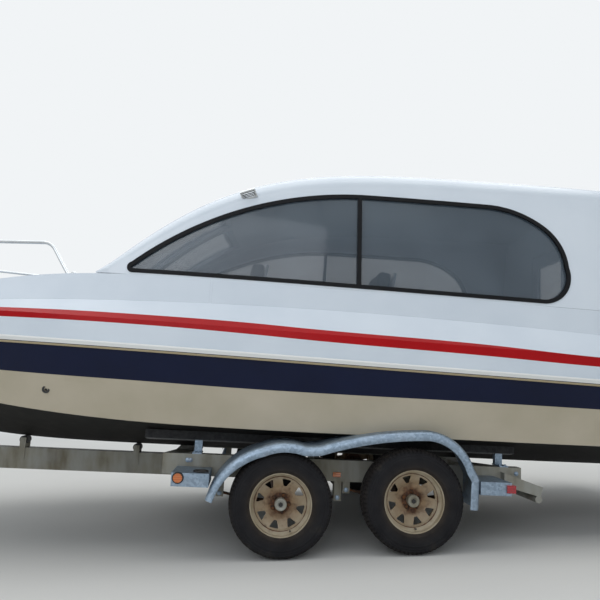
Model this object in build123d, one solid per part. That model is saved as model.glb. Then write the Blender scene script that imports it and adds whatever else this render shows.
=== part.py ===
# Cabin speedboat of about seven metres on its twin-axle galvanised trailer.
# Millimetres. Everything is first built on a level trailer: X runs forward from
# the middle between the two axles, Y runs to port, Z runs up from the ground.
# The boat and the trailer's frame then lean back together by FRAME_PITCH, nose
# up, as the trailer parks on its jack, and the wheels stay flat on the ground.
import math
import os

from build123d import *

os.makedirs("parts", exist_ok=True)

# Attitude and wheels
FRAME_PITCH = 3.5
AXLE_SPACING = 828
TYRE_R = 320
TYRE_W = 205
RIM_SEAT_R = 190.5
RIM_FLANGE_R = 199
RIM_WALL = 6
TYRE_OUTER_Y = 1190
TYRE_SHOULDER = 38
SPINDLE_R = 22
HUB_R = 62
HUB_CAP_R = 34
RUN_CLEARANCE = 0.1
PIVOT_GAP = 0.3

# Hull: X, keel height, chine half breadth, chine height, sheer half breadth
HULL_STATIONS = [
    (-2800, 503, 1050, 728, 1150),
    (-1937.5, 503, 1072, 728, 1182),
    (-1075, 503, 1085, 728, 1203),
    (-212.5, 503, 1090, 729, 1214),
    (650, 503, 1082, 732, 1212),
    (1512.5, 505, 1025, 752, 1180),
    (2375, 527, 850, 822, 1030),
    (3237.5, 680, 505, 952, 690),
    (4100, 1130, 16, 1160, 24),
]
CHINE_FLAT = 50
CHINE_DROP = 8
SHEER_Z = 1148
SHEER_RISE = 0.0205
HULL_WALL = 60
SOLE_Z = 860
WELL_AFT_X = -2700
WELL_FORE_X = 2150

# Deck: X, crease half breadth, crease height, top half breadth, top height, crown
DECK_STATIONS = [
    (-2800, 1030, 1412, 1012, 1618.6, 0),
    (-1937.5, 1052, 1456, 1034, 1632, 0),
    (-1075, 1068, 1491, 1048, 1645.3, 0),
    (-212.5, 1078, 1513, 1055, 1658.7, 0),
    (650, 1076, 1519, 1050, 1672.1, 0),
    (1512.5, 1035, 1506, 985, 1685.4, 6),
    (2375, 880, 1481, 775, 1636, 24),
    (3237.5, 560, 1447, 455, 1546, 26),
    (4100, 20, 1404, 16, 1418, 4),
]
SHEER_Y = {row[0]: row[4] for row in HULL_STATIONS}
KNUCKLE_RISE = 195
KNUCKLE_IN = 14
DECK_WALL = 45
SILL_Z = 1662
SILL_RISE = 0.0155
CABIN_FORE_X = 1640

# Cabin: X, side half breadth at the sill, roof edge height, roof crown
CABIN_STATIONS = [
    (-2560, 1018, 2572, 46),
    (-1960, 1033, 2574, 48),
    (-1360, 1044, 2572, 48),
    (-760, 1051, 2562, 48),
    (-160, 1055, 2541, 47),
    (440, 1052, 2461, 45),
    (1040, 1031, 2232, 40),
    (CABIN_FORE_X, 966, 1770, 22),
]
WINDSCREEN_TOP_X = 700
TRUNK_AFT_X = 1512.5
SEAM = 0.2
WINDSCREEN_FACTOR = 1.3
TUMBLEHOME = 0.150
SHOULDER_DROP = 115
SHOULDER_IN = 135
CABIN_WALL = 42
ROOF_SPLIT_Z = 2400
PILLAR_Y = 800
WING_TOP_X = -1980
WING_FOOT_X = -2380
GLASS_INSET = 12
GLASS_THICK = 6
WINDSCREEN_FOOT_X = 1725

# Side window, outer edge of its rubber frame, as X, Z points of its arcs
WINDOW_CHIN = (1488, 1697)
WINDOW_NOSE = (1519, 1728)
WINDOW_CHEEK = (1493, 1771)
WINDOW_BROW = (839, 2169)
WINDOW_TOP_FORE = (-78, 2355)
WINDOW_AFT = [(-933, 2357), (-1340, 2226), (-1498, 1930)]
WINDOW_HEEL = (-1440, 1717)
WINDOW_FOOT = (-1310, 1659)
FRAME_BAR = 28
FRAME_PROUD = 5
DIVIDER_X = -16

# Windscreen panes: half of the centre bar, half breadths and heights
SCREEN_BAR = 60
SCREEN_FOOT_Y = 735
SCREEN_HEAD_Y = 690
SCREEN_FOOT_Z = 1775
SCREEN_HEAD_Z = 2300

# Bulkhead, door, foredeck hatch
BULKHEAD_X = -1900
BULKHEAD_T = 40
DOOR_W = 600
DOOR_H = 1380
DOOR_GAP = 5
HATCH_X = 2520
HATCH_LEN = 520
HATCH_WID = 520
HATCH_T = 22
HATCH_CURB = 25
HATCH_LAP = 30
NOTCH_Y = 560
HATCH_SLOPE = 6.4
WING_TOP_Z = 2452
BULKHEAD_Y = 985
DOOR_FOOT = 905
HINGE_R = 8
HINGE_H = 50
HINGE_ZS = (1080, 2060)
RUB_H = 46
RUB_OUT = 24
RUB_SEAT = 30
RUB_RAISE = 22
BOW_TUBE_R = 12.5
# X, Y and Z of the bow rail's corners on the port side, from its aft foot
BOW_RAIL_PORT = [(1880, 880, 1610), (2060, 850, 1888), (3000, 590, 1900), (3720, 250, 1905), (4040, 90, 1905)]
RAIL_BENDS = [100, 400, 300, 80, 80, 300, 400, 100]
BOW_STANCHIONS = [(2600, 700, 1893), (3300, 455, 1900), (3880, 160, 1905)]
CLEATS = [(3250, 330, 1552), (-2600, 993, 1622)]
VENT_AT = (755, 968, 2292)
VENT_LEAN = 40
VENT_SLOPE = 22
OUTLET_AT = (1938, 1010, 913)
EYE_AT = (3852, 978)
EYE_TURN = 55
EYE_R = 12
DASH_Y = 860
SPINDLE_END_Y = 1130
SPRING_CAMBER = 45
BEAD_HALF = 74
RIM_WELL_R = 165
RIM_WINDOWS = 8
WINDOW_RING_R = 127
WINDOW_WIDE = 62
WINDOW_DEEP = 44
WINDOW_TAPER = 63
WINDOW_ROUND = 6
WHEEL_REST_TURN = {"fore": 9.5, "aft": -7}
BUNK_TOP_Z = 668
BUNK_LEAN = 11.8
ROLLER_DROP = 0.3
TRANSOM_TOP = SHEER_Z + SHEER_RISE * -2800
LAMP_X = 1060
LAMP_Z = 437

# Trailer
SPINE_W = 100
SPINE_TOP = 437
SPINE_H = 157
SPINE_AFT_X = 1050
SPINE_FORE_X = 5050
RAIL_OUT_Y = 900
RAIL_W = 75
RAIL_TOP = 545
RAIL_H = 137
RAIL_FORE_X = 1050
RAIL_AFT_X = -1200
RAIL_SKIN = 6
CROSS_LEN = 146
TAIL_PROFILE = [(-1058, 514), (-1324, 431), (-1306, 368), (-1058, 430)]
TAIL_W = 60
TAIL_TUBE_AT = (-1294, 352)
TAIL_TUBE_R = 24
CROSS_MID_TOP = 486
FENDER_IN_Y = RAIL_OUT_Y
FENDER_OUT_Y = 1212
FENDER_T = 5
FENDER_FOOT_Z = 312
FENDER_LIP = 58
FENDER_ROLL = 36
FENDER_ROLL_STEPS = 4
FENDER_HULL_GAP = 12
STEP_H = 80
STEP_OUT_Y = 1200
STEP_FORE = (876, 1100, 466)
STEP_AFT = (-1003, -803, 486)
STEP_SKIN = 4
LAMP_R = 28
LAMP_T = 14
TAIL_LAMP_T = 22
TAIL_LAMP_LAP = 34
TAIL_LAMP_IN_Y = 1060
TAIL_LAMP_DROP = 14
TAIL_LAMP_H = 48
SPRING_Y = 860
SPRING_W = 50
LEAF_T = 9
LEAF_COUNT = 3
AXLE_BEAM = 50
AXLE_BEAM_Y = 950
EQUALISER_X = 20
SPRING_HALF = 385
HANGER_T = 8
BUNK_Y = 790
BUNK_W = 90
BUNK_T = 45
BUNK_X = (-1180, 1330)
ROLLER_R = 30
ROLLER_W = 90
ROLLER_XS = (HULL_STATIONS[5][0], HULL_STATIONS[6][0])
POST_XS = (-1080, 980)
WINCH_POST_X = 4300
BOW_X = 4100
STOP_Z = 1175
JACK_X = 4640
JACK_Y = -86
JACK_R = 30
JACK_LEG_R = 24
JACK_TOP = 700
JACK_TUBE = 560
JACK_FOOT_R = 85
JACK_FOOT_T = 10
BALL_R = 25.4
COUPLER_X = 5290

# Outboard motor, built upright against the transom and then tilted up
TRANSOM_X = -2800
TILT_X = -2878
TILT_Z = 1135
MOTOR_TILT = 50
STEER_X = -2930
LEG_X = -3100
STEER_TUBE_R = 36
STEER_PIN_R = 20
PLATE_Z = 500
PROP_Z = 305
PROP_R = 178
PROP_BLADES = 3
COWL_FOOT_Z = 1230
COWL_TOP_Z = 1650

# Inside the cabin
SEAT_XS = (925, -15)
SEAT_YS = (430, -430)
SEAT_TOP = 1330
SEAT_W = 460
SEAT_D = 440
SEAT_PAD = 110
BACK_TOP = 1905
BACK_T = 105
WHEEL_R = 175
WHEEL_TILT = 28
WHEEL_AT = (1315, -430, 1470)


def sheer_z(x):
    return SHEER_Z + SHEER_RISE * x


def sill_z(x):
    return SILL_Z + SILL_RISE * x


def both(solid):
    # the same piece on the port and the starboard side
    return [solid, mirror(solid, about=Plane.XZ)]


def polygon(points):
    return make_face(Polyline(*points, close=True))


def section(x, half):
    # a closed cross-section at X from the points of its port half
    port = [(x, y, z) for y, z in half]
    starboard = [(x, -y, z) for y, z in reversed(half) if y > 0.01]
    return make_face(Polyline(*(port + starboard), close=True))


def profile_block(points, y_low, y_high):
    # an outline in the X Z plane carried from one Y to another
    face = Plane.XZ * make_face(Polyline(*points, close=True))
    return extrude(face, amount=y_high - y_low, dir=(0, 1, 0)).moved(Location((0, y_low, 0)))


def block(x, y, z):
    # a box from its low and high limits along X, Y and Z
    size = [x[1] - x[0], y[1] - y[0], z[1] - z[0]]
    middle = ((x[0] + x[1]) / 2, (y[0] + y[1]) / 2, (z[0] + z[1]) / 2)
    return Pos(*middle) * Box(*size)


def rod(radius, start, end):
    start, end = Vector(*start), Vector(*end)
    along = end - start
    return Plane(origin=start, z_dir=along) * Cylinder(
        radius, along.length, align=(Align.CENTER, Align.CENTER, Align.MIN)
    )


def above_plane(z0, rise, height):
    # a slab whose underside is a plane that rises along X
    x0, x1 = -4000, 6000
    low = [z0 + rise * x0, z0 + rise * x1]
    return profile_block(
        [(x0, low[0]), (x1, low[1]), (x1, low[1] + height), (x0, low[0] + height)], -2000, 2000
    )


def hull_body(inset=0):
    sections = []
    for x, keel, chine_y, chine_z, sheer_y in HULL_STATIONS:
        low = keel + inset
        half = [
            (0, low),
            (max(chine_y - inset - CHINE_FLAT * chine_y / 1100, 6), chine_z - CHINE_DROP + inset),
            (max(chine_y - inset, 8), chine_z + inset),
            (max(sheer_y - inset, 12), sheer_z(x) + 0.0),
        ]
        sections.append(section(x, half))
    return loft(sections)


def deck_half(row):
    # the port half of the deck's outer section, from the sheer up to the top edge
    x, crease_y, crease_z, top_y, top_z, crown = row
    sheer_y = SHEER_Y[x]
    knuckle_y = sheer_y * (1 - KNUCKLE_IN / 1215)
    return [
        (sheer_y, sheer_z(x)),
        (knuckle_y, sheer_z(x) + KNUCKLE_RISE),
        (crease_y, crease_z),
        (top_y, top_z),
    ]


def deck_flank():
    # the port side of the deck moulding, as thick as DECK_WALL
    sections = []
    for row in DECK_STATIONS[:-1]:
        outer = deck_half(row)
        inner = [(y - DECK_WALL, z) for y, z in reversed(outer)]
        points = [(row[0], y, z) for y, z in outer + inner]
        sections.append(make_face(Polyline(*points, close=True)))
    return loft(sections)


def foredeck_plate():
    # the foredeck and trunk top, laid between the two flanks
    sections = []
    for x, crease_y, crease_z, top_y, top_z, crown in DECK_STATIONS[:-1]:
        edge = top_y - DECK_WALL - SEAM
        half = [(edge, top_z - DECK_WALL), (edge, top_z), (0, top_z + crown)]
        sections.append(section(x, half))
    ends = (TRUNK_AFT_X, DECK_STATIONS[-2][0])
    return loft(sections) & block(ends, (-1300, 1300), (1300, 1900))


def bow_tip():
    # the solid tip of the bow, forward of the last but one section
    sections = []
    for row in DECK_STATIONS[4:]:
        half = deck_half(row) + [(0, row[4] + row[5])]
        sections.append(section(row[0], half))
    return loft(sections) & block((DECK_STATIONS[-2][0], 4200), (-1300, 1300), (900, 1900))


def cabin_arch(x, sill_y, edge_z, crown, inset):
    # points of one arch: foot, start of the shoulder, its middle, roof edge, crown
    slope = WINDSCREEN_FACTOR if x > WINDSCREEN_TOP_X else 1.0
    top = edge_z - inset * slope
    foot = sill_z(x)
    foot_y = sill_y - inset
    drop = min(SHOULDER_DROP, 0.75 * (top - foot))
    turn_in = SHOULDER_IN * drop / SHOULDER_DROP
    side_y = foot_y - TUMBLEHOME * (top - drop - foot)
    edge_y = side_y - turn_in
    middle = (side_y - 0.26 * turn_in, top - 0.30 * drop)
    return [(foot_y, foot), (side_y, top - drop), middle, (edge_y, top), (0, top + crown)]


def arch_edges(x, points):
    foot, side, middle, edge, crown = [(x, y, z) for y, z in points]
    foot_s, side_s, middle_s, edge_s, crown_s = [(x, -y, z) for y, z in points]
    return [
        Line(foot, side),
        ThreePointArc(side, middle, edge),
        ThreePointArc(edge, crown, edge_s),
        ThreePointArc(edge_s, middle_s, side_s),
        Line(side_s, foot_s),
    ]


def cabin_layer(outset, inset):
    # a layer of the cabin's skin, from outset outside to inset inside its surface
    sections = []
    for x, sill_y, edge_z, crown in CABIN_STATIONS:
        outer = cabin_arch(x, sill_y, edge_z, crown, -outset)
        inner = cabin_arch(x, sill_y, edge_z, crown, inset)
        steps = [
            Line((x, outer[0][0], outer[0][1]), (x, inner[0][0], inner[0][1])),
            Line((x, -outer[0][0], outer[0][1]), (x, -inner[0][0], inner[0][1])),
        ]
        sections.append(make_face(arch_edges(x, outer) + arch_edges(x, inner) + steps))
    return loft(sections)


def window_outline():
    nose = ThreePointArc(WINDOW_CHIN, WINDOW_NOSE, WINDOW_CHEEK)
    top = ThreePointArc(WINDOW_CHEEK, WINDOW_BROW, WINDOW_TOP_FORE)
    edges = [nose, top]
    for knot in WINDOW_AFT:
        last = edges[-1]
        edges.append(TangentArc(last @ 1, knot, tangent=last % 1))
    edges.append(ThreePointArc(WINDOW_AFT[-1], WINDOW_HEEL, WINDOW_FOOT))
    edges.append(Line(WINDOW_FOOT, WINDOW_CHIN))
    return make_face(edges)


def side_prism(flat, y_low=820, y_high=1250):
    face = Plane.XZ * flat
    return extrude(face, amount=y_high - y_low, dir=(0, 1, 0)).moved(Location((0, y_low, 0)))



def tilted(solid, angle):
    # the motor's pieces turn about the tilt axis, their head towards the bow
    return solid.moved(Location((-TILT_X, 0, -TILT_Z))).moved(
        Location((0, 0, 0), (0, angle, 0))
    ).moved(Location((TILT_X, 0, TILT_Z)))


def interpolated(table, x, column):
    # a straight-line value between two rows of a station table
    for low, high in zip(table, table[1:]):
        if low[0] <= x <= high[0]:
            share = (x - low[0]) / (high[0] - low[0])
            return low[column] + share * (high[column] - low[column])
    return table[-1][column]


def bent_tube(points, radii, radius):
    path = FilletPolyline(*points, radius=radii)
    start = Plane(origin=path @ 0, z_dir=path % 0)
    return sweep(start * Circle(radius), path=path)


nodes = {}

# Hull with its open well
hull_outer = hull_body()
well = hull_body(HULL_WALL) & block((WELL_AFT_X, WELL_FORE_X), (-1300, 1300), (SOLE_Z, 2000))
nodes["hull"] = hull_outer - well

# Deck moulding: two flanks, transom, foredeck with its hatch hole, and the bow tip
flanks = both(deck_flank())
transom_half = [(y - 15, z) for y, z in deck_half(DECK_STATIONS[0])]
transom_points = transom_half + [(-y, z) for y, z in reversed(transom_half)]
transom = Plane.YZ * polygon(transom_points)
transom = extrude(transom, amount=DECK_WALL, dir=(1, 0, 0)).moved(Location((TRANSOM_X, 0, 0)))
transom = transom & above_plane(SHEER_Z, SHEER_RISE, 1000)
notch = block((TRANSOM_X - 100, WELL_AFT_X), (-NOTCH_Y, NOTCH_Y), (1000, 1800))
hatch_hole = block(
    (HATCH_X - HATCH_LEN / 2 + HATCH_LAP, HATCH_X + HATCH_LEN / 2 - HATCH_LAP),
    (-HATCH_WID / 2 + HATCH_LAP, HATCH_WID / 2 - HATCH_LAP),
    (1450, 1800),
)
# the deck ends flat on the line where the cabin stands on it
above_sill = profile_block(
    [(-2900, sill_z(-2900)), (TRUNK_AFT_X, sill_z(TRUNK_AFT_X)), (TRUNK_AFT_X, 1900), (-2900, 1900)],
    -1300, 1300,
)
flanks = [flank - above_sill for flank in flanks]
nodes["deck"] = flanks[0] + flanks[1] + (transom - notch) + bow_tip()
nodes["foredeck"] = foredeck_plate() - hatch_hole


def rub_rail():
    # a strake along the sheer, seated on the sides of hull and deck
    sections = []
    for x, keel, chine_y, chine_z, sheer_y in HULL_STATIONS:
        low = sheer_z(x) + RUB_RAISE - RUB_H / 2
        inner, outer = sheer_y - RUB_SEAT * sheer_y / 1215, sheer_y + RUB_OUT
        points = [
            (inner, low), (outer - 8, low), (outer, low + 10),
            (outer, low + RUB_H - 10), (outer - 8, low + RUB_H), (inner, low + RUB_H),
        ]
        sections.append(make_face(Polyline(*[(x, y, z) for y, z in points], close=True)))
    return loft(sections)


nodes["rub_rails"] = Compound(both(rub_rail() - nodes["hull"] - nodes["deck"]))

# Cabin: one arched skin, closed at the windscreen's foot, then split into its mouldings
shell = cabin_layer(0, CABIN_WALL)
foot_rows = [CABIN_STATIONS[-1], (WINDSCREEN_FOOT_X, 946, sill_z(WINDSCREEN_FOOT_X) + 8, 5)]
foot_sections = []
for x, sill_y, edge_z, crown in foot_rows:
    points = cabin_arch(x, sill_y, edge_z, crown, 0)
    base = Line((x, points[0][0], points[0][1]), (x, -points[0][0], points[0][1]))
    foot_sections.append(make_face(arch_edges(x, points) + [base]))
screen_foot = loft(foot_sections)
aft_cut = profile_block(
    [(-2700, 1560), (WING_FOOT_X, 1560), (WING_TOP_X, WING_TOP_Z), (-2700, WING_TOP_Z)],
    -1300, 1300,
)
shell = shell - aft_cut
upper = block((-3000, 2000), (-1300, 1300), (ROOF_SPLIT_Z, 2800))
nodes["roof"] = shell & upper
skirt = shell - upper
outline = window_outline()
opening = offset(outline, amount=-FRAME_BAR)
outer_prism = side_prism(outline)
inner_prism = side_prism(opening)
side = skirt & block((-3000, 2000), (PILLAR_Y, 1300), (1500, 2500))
side = side - outer_prism
screen = skirt & block((0, 2000), (-PILLAR_Y, PILLAR_Y), (1500, 2500))
near = block((500, 1800), (-1100, 1100), (1650, 1720))
near_deck = (nodes["deck"] & near) + (nodes["foredeck"] & near)
nodes["screen_sill"] = screen_foot - near_deck
side = (side - near_deck).solids().sort_by(SortBy.VOLUME)[-1]
screen = screen - near_deck
nodes["cabin_side_port"] = side
nodes["cabin_side_starboard"] = mirror(nodes["cabin_side_port"], about=Plane.XZ)
pane = [
    (SCREEN_BAR, SCREEN_FOOT_Z), (SCREEN_FOOT_Y, SCREEN_FOOT_Z),
    (SCREEN_HEAD_Y, SCREEN_HEAD_Z), (SCREEN_BAR, SCREEN_HEAD_Z),
]
pane_prism = extrude(Plane.YZ * polygon(pane), amount=1500, dir=(1, 0, 0)).moved(
    Location((300, 0, 0))
)
pane_prisms = both(pane_prism)
nodes["windscreen_frame"] = screen - pane_prisms[0] - pane_prisms[1]
glass_layer = cabin_layer(-GLASS_INSET, GLASS_INSET + GLASS_THICK)
nodes["windscreen_glass"] = Compound([glass_layer & prism for prism in pane_prisms])
divider = block(
    (DIVIDER_X - FRAME_BAR / 2, DIVIDER_X + FRAME_BAR / 2), (600, 1300), (1500, 2500)
)
port_side = block((-2000, 2000), (600, 1300), (1500, 2500))
frame_layer = (cabin_layer(FRAME_PROUD, CABIN_WALL) & port_side) & outer_prism
frame = frame_layer - (inner_prism - divider)
nodes["window_frames"] = Compound(both(frame))
panes = ((glass_layer & port_side) & (inner_prism - divider)).solids()
nodes["side_glass"] = Compound([p for pane in panes for p in both(pane)])

# Aft bulkhead with its doorway, and the door on two lift-off hinges
core_rows = []
for x, sill_y, edge_z, crown in CABIN_STATIONS[:4]:
    points = cabin_arch(x, sill_y, edge_z, crown, CABIN_WALL + 0.3)
    base = Line((x, points[0][0], points[0][1]), (x, -points[0][0], points[0][1]))
    core_rows.append(make_face(arch_edges(x, points) + [base]))
slab = block((BULKHEAD_X, BULKHEAD_X + BULKHEAD_T), (-1300, 1300), (SOLE_Z, 2800))
bulkhead = (loft(core_rows) & slab) + block(
    (BULKHEAD_X, BULKHEAD_X + BULKHEAD_T), (-BULKHEAD_Y, BULKHEAD_Y), (SOLE_Z, 1640)
)
doorway = block(
    (BULKHEAD_X - 100, BULKHEAD_X + 100), (-DOOR_W / 2, DOOR_W / 2), (DOOR_FOOT, DOOR_FOOT + DOOR_H)
)
bulkhead = bulkhead - doorway
hinge_y = DOOR_W / 2 - DOOR_GAP / 2
hinge_x = BULKHEAD_X - HINGE_R
door = block(
    (BULKHEAD_X + 2, BULKHEAD_X + BULKHEAD_T - 2),
    (-DOOR_W / 2 + DOOR_GAP, DOOR_W / 2 - DOOR_GAP),
    (DOOR_FOOT + DOOR_GAP, DOOR_FOOT + DOOR_H - DOOR_GAP),
)
door_light = block(
    (BULKHEAD_X - 100, BULKHEAD_X + 100), (-DOOR_W / 2 + 90, DOOR_W / 2 - 90),
    (DOOR_FOOT + 620, DOOR_FOOT + DOOR_H - 110),
)
door_pane = door_light & block(
    (BULKHEAD_X + 16, BULKHEAD_X + 22), (-1300, 1300), (SOLE_Z, 2800)
)
for z in HINGE_ZS:
    leaf = block((hinge_x, BULKHEAD_X + 10), (hinge_y - 34, hinge_y), (z, z + HINGE_H))
    door = door + leaf + rod(HINGE_R, (hinge_x, hinge_y, z), (hinge_x, hinge_y, z + HINGE_H))
    low = z - HINGE_H - PIVOT_GAP
    plate = block((hinge_x, BULKHEAD_X + 1), (hinge_y, hinge_y + 40), (low, low + HINGE_H))
    barrel = rod(HINGE_R, (hinge_x, hinge_y, low), (hinge_x, hinge_y, low + HINGE_H))
    bulkhead = bulkhead + plate + barrel
nodes["bulkhead"] = bulkhead
nodes["cabin_door"] = door - door_light
nodes["door_glass"] = door_pane

# Foredeck hatch on the sloping trunk: curb, lid and its forward hinges
hatch_z = interpolated(DECK_STATIONS, HATCH_X, 4) + interpolated(DECK_STATIONS, HATCH_X, 5)
hatch_at = Location((HATCH_X, 0, hatch_z), (0, HATCH_SLOPE, 0))
curb = Box(HATCH_LEN, HATCH_WID, 60) - Box(HATCH_LEN - 60, HATCH_WID - 60, 90)
curb = curb.moved(Location((0, 0, HATCH_CURB - 30)))
lid = Pos(0, 0, HATCH_CURB + 0.3 + HATCH_T / 2) * Box(HATCH_LEN - 6, HATCH_WID - 6, HATCH_T)
lid = fillet(lid.edges().filter_by(Axis.Z), 40)
hatch_hinge_x = HATCH_LEN / 2 + 6
hatch_hinge_z = HATCH_CURB + 8
for y in (-150, 150):
    bar = rod(6, (hatch_hinge_x, y - 20, hatch_hinge_z), (hatch_hinge_x, y + 20, hatch_hinge_z))
    arm = block(
        (hatch_hinge_x - 24, hatch_hinge_x), (y - 20, y + 20), (hatch_hinge_z, hatch_hinge_z + 6)
    )
    lid = lid + bar + arm
    for side_y in (y - 32.3, y + 20.3):
        ear = rod(
            6, (hatch_hinge_x, side_y, hatch_hinge_z), (hatch_hinge_x, side_y + 12, hatch_hinge_z)
        )
        foot = block((HATCH_LEN / 2 - 2, hatch_hinge_x), (side_y, side_y + 12), (0, hatch_hinge_z))
        curb = curb + ear + foot
nodes["hatch_curb"] = curb.moved(hatch_at) - nodes["foredeck"]
nodes["hatch_lid"] = lid.moved(hatch_at)

# Bow rail of bent stainless tube with its stanchions
rail_side = [(x, y, z) for x, y, z in BOW_RAIL_PORT]
rail_path = rail_side + [(x, -y, z) for x, y, z in reversed(rail_side)]
rail = bent_tube(rail_path, RAIL_BENDS, BOW_TUBE_R)
for x, y, z in BOW_STANCHIONS:
    for sign in (1, -1):
        rail = rail + rod(BOW_TUBE_R - 1, (x, sign * (y + 12), z - 420), (x, sign * y, z))
# the ends of the stanchions inside the hollow deck drop away
rail_pieces = (rail - nodes["deck"] - nodes["foredeck"]).solids()
nodes["bow_rail"] = max(rail_pieces, key=lambda piece: piece.volume)

# Deck fittings
cleats = []
for x, y, z in CLEATS:
    for sign in (1, -1):
        cleat = block((x - 45, x + 45), (y - 14, y + 14), (z - 8, z + 6))
        cleat = cleat + block((x - 24, x + 24), (y - 8, y + 8), (z, z + 30))
        cleat = cleat + rod(8, (x - 90, y, z + 32), (x + 90, y, z + 32))
        cleats.append(cleat if sign == 1 else mirror(cleat, about=Plane.XZ))
nodes["cleats"] = Compound([c - nodes["deck"] - nodes["foredeck"] for c in cleats])
vent = Location((VENT_AT[0], VENT_AT[1], VENT_AT[2]), (-VENT_LEAN, VENT_SLOPE, 0)) * Box(108, 16, 62)
vent = vent - nodes["cabin_side_port"] - nodes["roof"]
nodes["vents"] = Compound(both(vent.solids().sort_by(Axis.Y)[-1]))
outlet = rod(24, (OUTLET_AT[0], OUTLET_AT[1] - 30, OUTLET_AT[2]), (OUTLET_AT[0], OUTLET_AT[1] + 9, OUTLET_AT[2]))
outlet = outlet - rod(13, (OUTLET_AT[0], OUTLET_AT[1] - 8, OUTLET_AT[2]), (OUTLET_AT[0], OUTLET_AT[1] + 20, OUTLET_AT[2]))
outlet = outlet - hull_outer
nodes["outlets"] = Compound(both(outlet.solids().sort_by(Axis.Y)[-1]))
eye = Box(120, 14, 56) - rod(EYE_R, (34, -20, 0), (34, 20, 0))
eye = eye.moved(Location((EYE_AT[0], 0, EYE_AT[1]), (0, EYE_TURN, 0))) - hull_outer
nodes["bow_eye"] = eye.solids().sort_by(Axis.X)[-1]

# Dash with the way to the fore cabin, and the steering wheel
dash = profile_block(
    [(1350, SOLE_Z), (1380, 1500), (1470, 1625), (1500, 1645), (1500, SOLE_Z)], -DASH_Y, DASH_Y
)
way = block((900, 1600), (-60, 440), (SOLE_Z - 10, 1480))
nodes["dash"] = dash - way
wheel_at = Location(WHEEL_AT, (0, -90 + WHEEL_TILT, 0))
ring = Torus(WHEEL_R, 15) + Cylinder(38, 26)
for k in range(3):
    spoke = Pos(WHEEL_R / 2, 0, 0) * Box(WHEEL_R - 10, 34, 8)
    ring = ring + spoke.moved(Location((0, 0, 0), (0, 0, 90 + 120 * k)))
nodes["steering_wheel"] = ring.moved(wheel_at)
column = Pos(0, 0, -13.3 - 60) * Cylinder(24, 120)
nodes["steering_column"] = column.moved(wheel_at) - nodes["dash"]

# Seats: pedestals with moulded shells, and their pads
frames, bases, backs = [], [], []
for x in SEAT_XS:
    for y in SEAT_YS:
        foot = rod(150, (x, y, SOLE_Z), (x, y, SOLE_Z + 12))
        post = rod(45, (x, y, SOLE_Z), (x, y, SEAT_TOP - SEAT_PAD - 20))
        pan = block(
            (x - SEAT_D / 2, x + SEAT_D / 2), (y - SEAT_W / 2, y + SEAT_W / 2),
            (SEAT_TOP - SEAT_PAD - 20, SEAT_TOP - SEAT_PAD),
        )
        lean = Location((x - SEAT_D / 2, y, SEAT_TOP - SEAT_PAD - 20), (0, -9, 0))
        back_h = BACK_TOP - SEAT_TOP + SEAT_PAD
        back_shell = (Pos(-10, 0, back_h / 2) * Box(20, SEAT_W, back_h)).moved(lean)
        pad = (Pos(BACK_T / 2 + 0.3, 0, back_h / 2 + SEAT_PAD / 2 + 24)
               * Box(BACK_T, SEAT_W - 30, back_h - SEAT_PAD - 30)).moved(lean)
        frames.append(foot + post + pan + back_shell)
        bases.append(block(
            (x - SEAT_D / 2 + 12, x + SEAT_D / 2), (y - SEAT_W / 2 + 10, y + SEAT_W / 2 - 10),
            (SEAT_TOP - SEAT_PAD + 0.3, SEAT_TOP),
        ))
        backs.append(pad)
nodes["seat_frames"] = Compound(frames)
nodes["seat_bases"] = Compound(bases)
nodes["seat_backs"] = Compound(backs)

# Outboard motor
clamp = block((TRANSOM_X - 46, TRANSOM_X), (-105, 105), (830, 1118))
clamp = clamp + block((TRANSOM_X - 46, WELL_AFT_X + 20), (-105, 105), (TRANSOM_TOP + 0.2, 1118))
clamp = clamp + block((WELL_AFT_X + 0.3, WELL_AFT_X + 20), (-105, 105), (940, 1118))
for y in (-105, 82):
    ear = block((TILT_X, TRANSOM_X - 20), (y, y + 23), (1000, TILT_Z))
    clamp = clamp + ear + rod(26, (TILT_X, y, TILT_Z), (TILT_X, y + 23, TILT_Z))
pin = rod(11, (TILT_X, -105, TILT_Z), (TILT_X, 105, TILT_Z))
nodes["motor_clamp"] = (clamp + pin) - hull_outer
swivel = rod(25, (TILT_X, -81.5, TILT_Z), (TILT_X, 81.5, TILT_Z))
swivel = swivel + block((STEER_X, TILT_X - 6), (-32, 32), (TILT_Z - 40, TILT_Z + 16))
swivel = swivel + rod(STEER_TUBE_R, (STEER_X, 0, 840), (STEER_X, 0, 1160))
swivel = swivel - rod(STEER_PIN_R + PIVOT_GAP, (STEER_X, 0, 800), (STEER_X, 0, 1200))
swivel = swivel - rod(11 + RUN_CLEARANCE, (TILT_X, -105, TILT_Z), (TILT_X, 105, TILT_Z))
nodes["motor_swivel"] = tilted(swivel, MOTOR_TILT)
leg = rod(STEER_PIN_R, (STEER_X, 0, 800), (STEER_X, 0, 1200))
for z in (800, 1160.3):
    leg = leg + block((LEG_X, STEER_X), (-30, 30), (z, z + 39.7)) + rod(
        34, (STEER_X, 0, z), (STEER_X, 0, z + 39.7)
    )
strut = Pos(LEG_X, 0, 0) * Ellipse(118, 58)
strut_low = Pos(LEG_X - 10, 0, PROP_Z + 20) * Ellipse(105, 26)
leg = leg + extrude(Pos(0, 0, 620) * strut, amount=COWL_FOOT_Z - 0.3 - 620)
leg = leg + loft([strut_low.face(), (Pos(0, 0, 621) * strut).face()])
plate = extrude(Pos(LEG_X - 55, 0, PLATE_Z) * Ellipse(215, 110), amount=9)
leg = leg + plate
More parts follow.
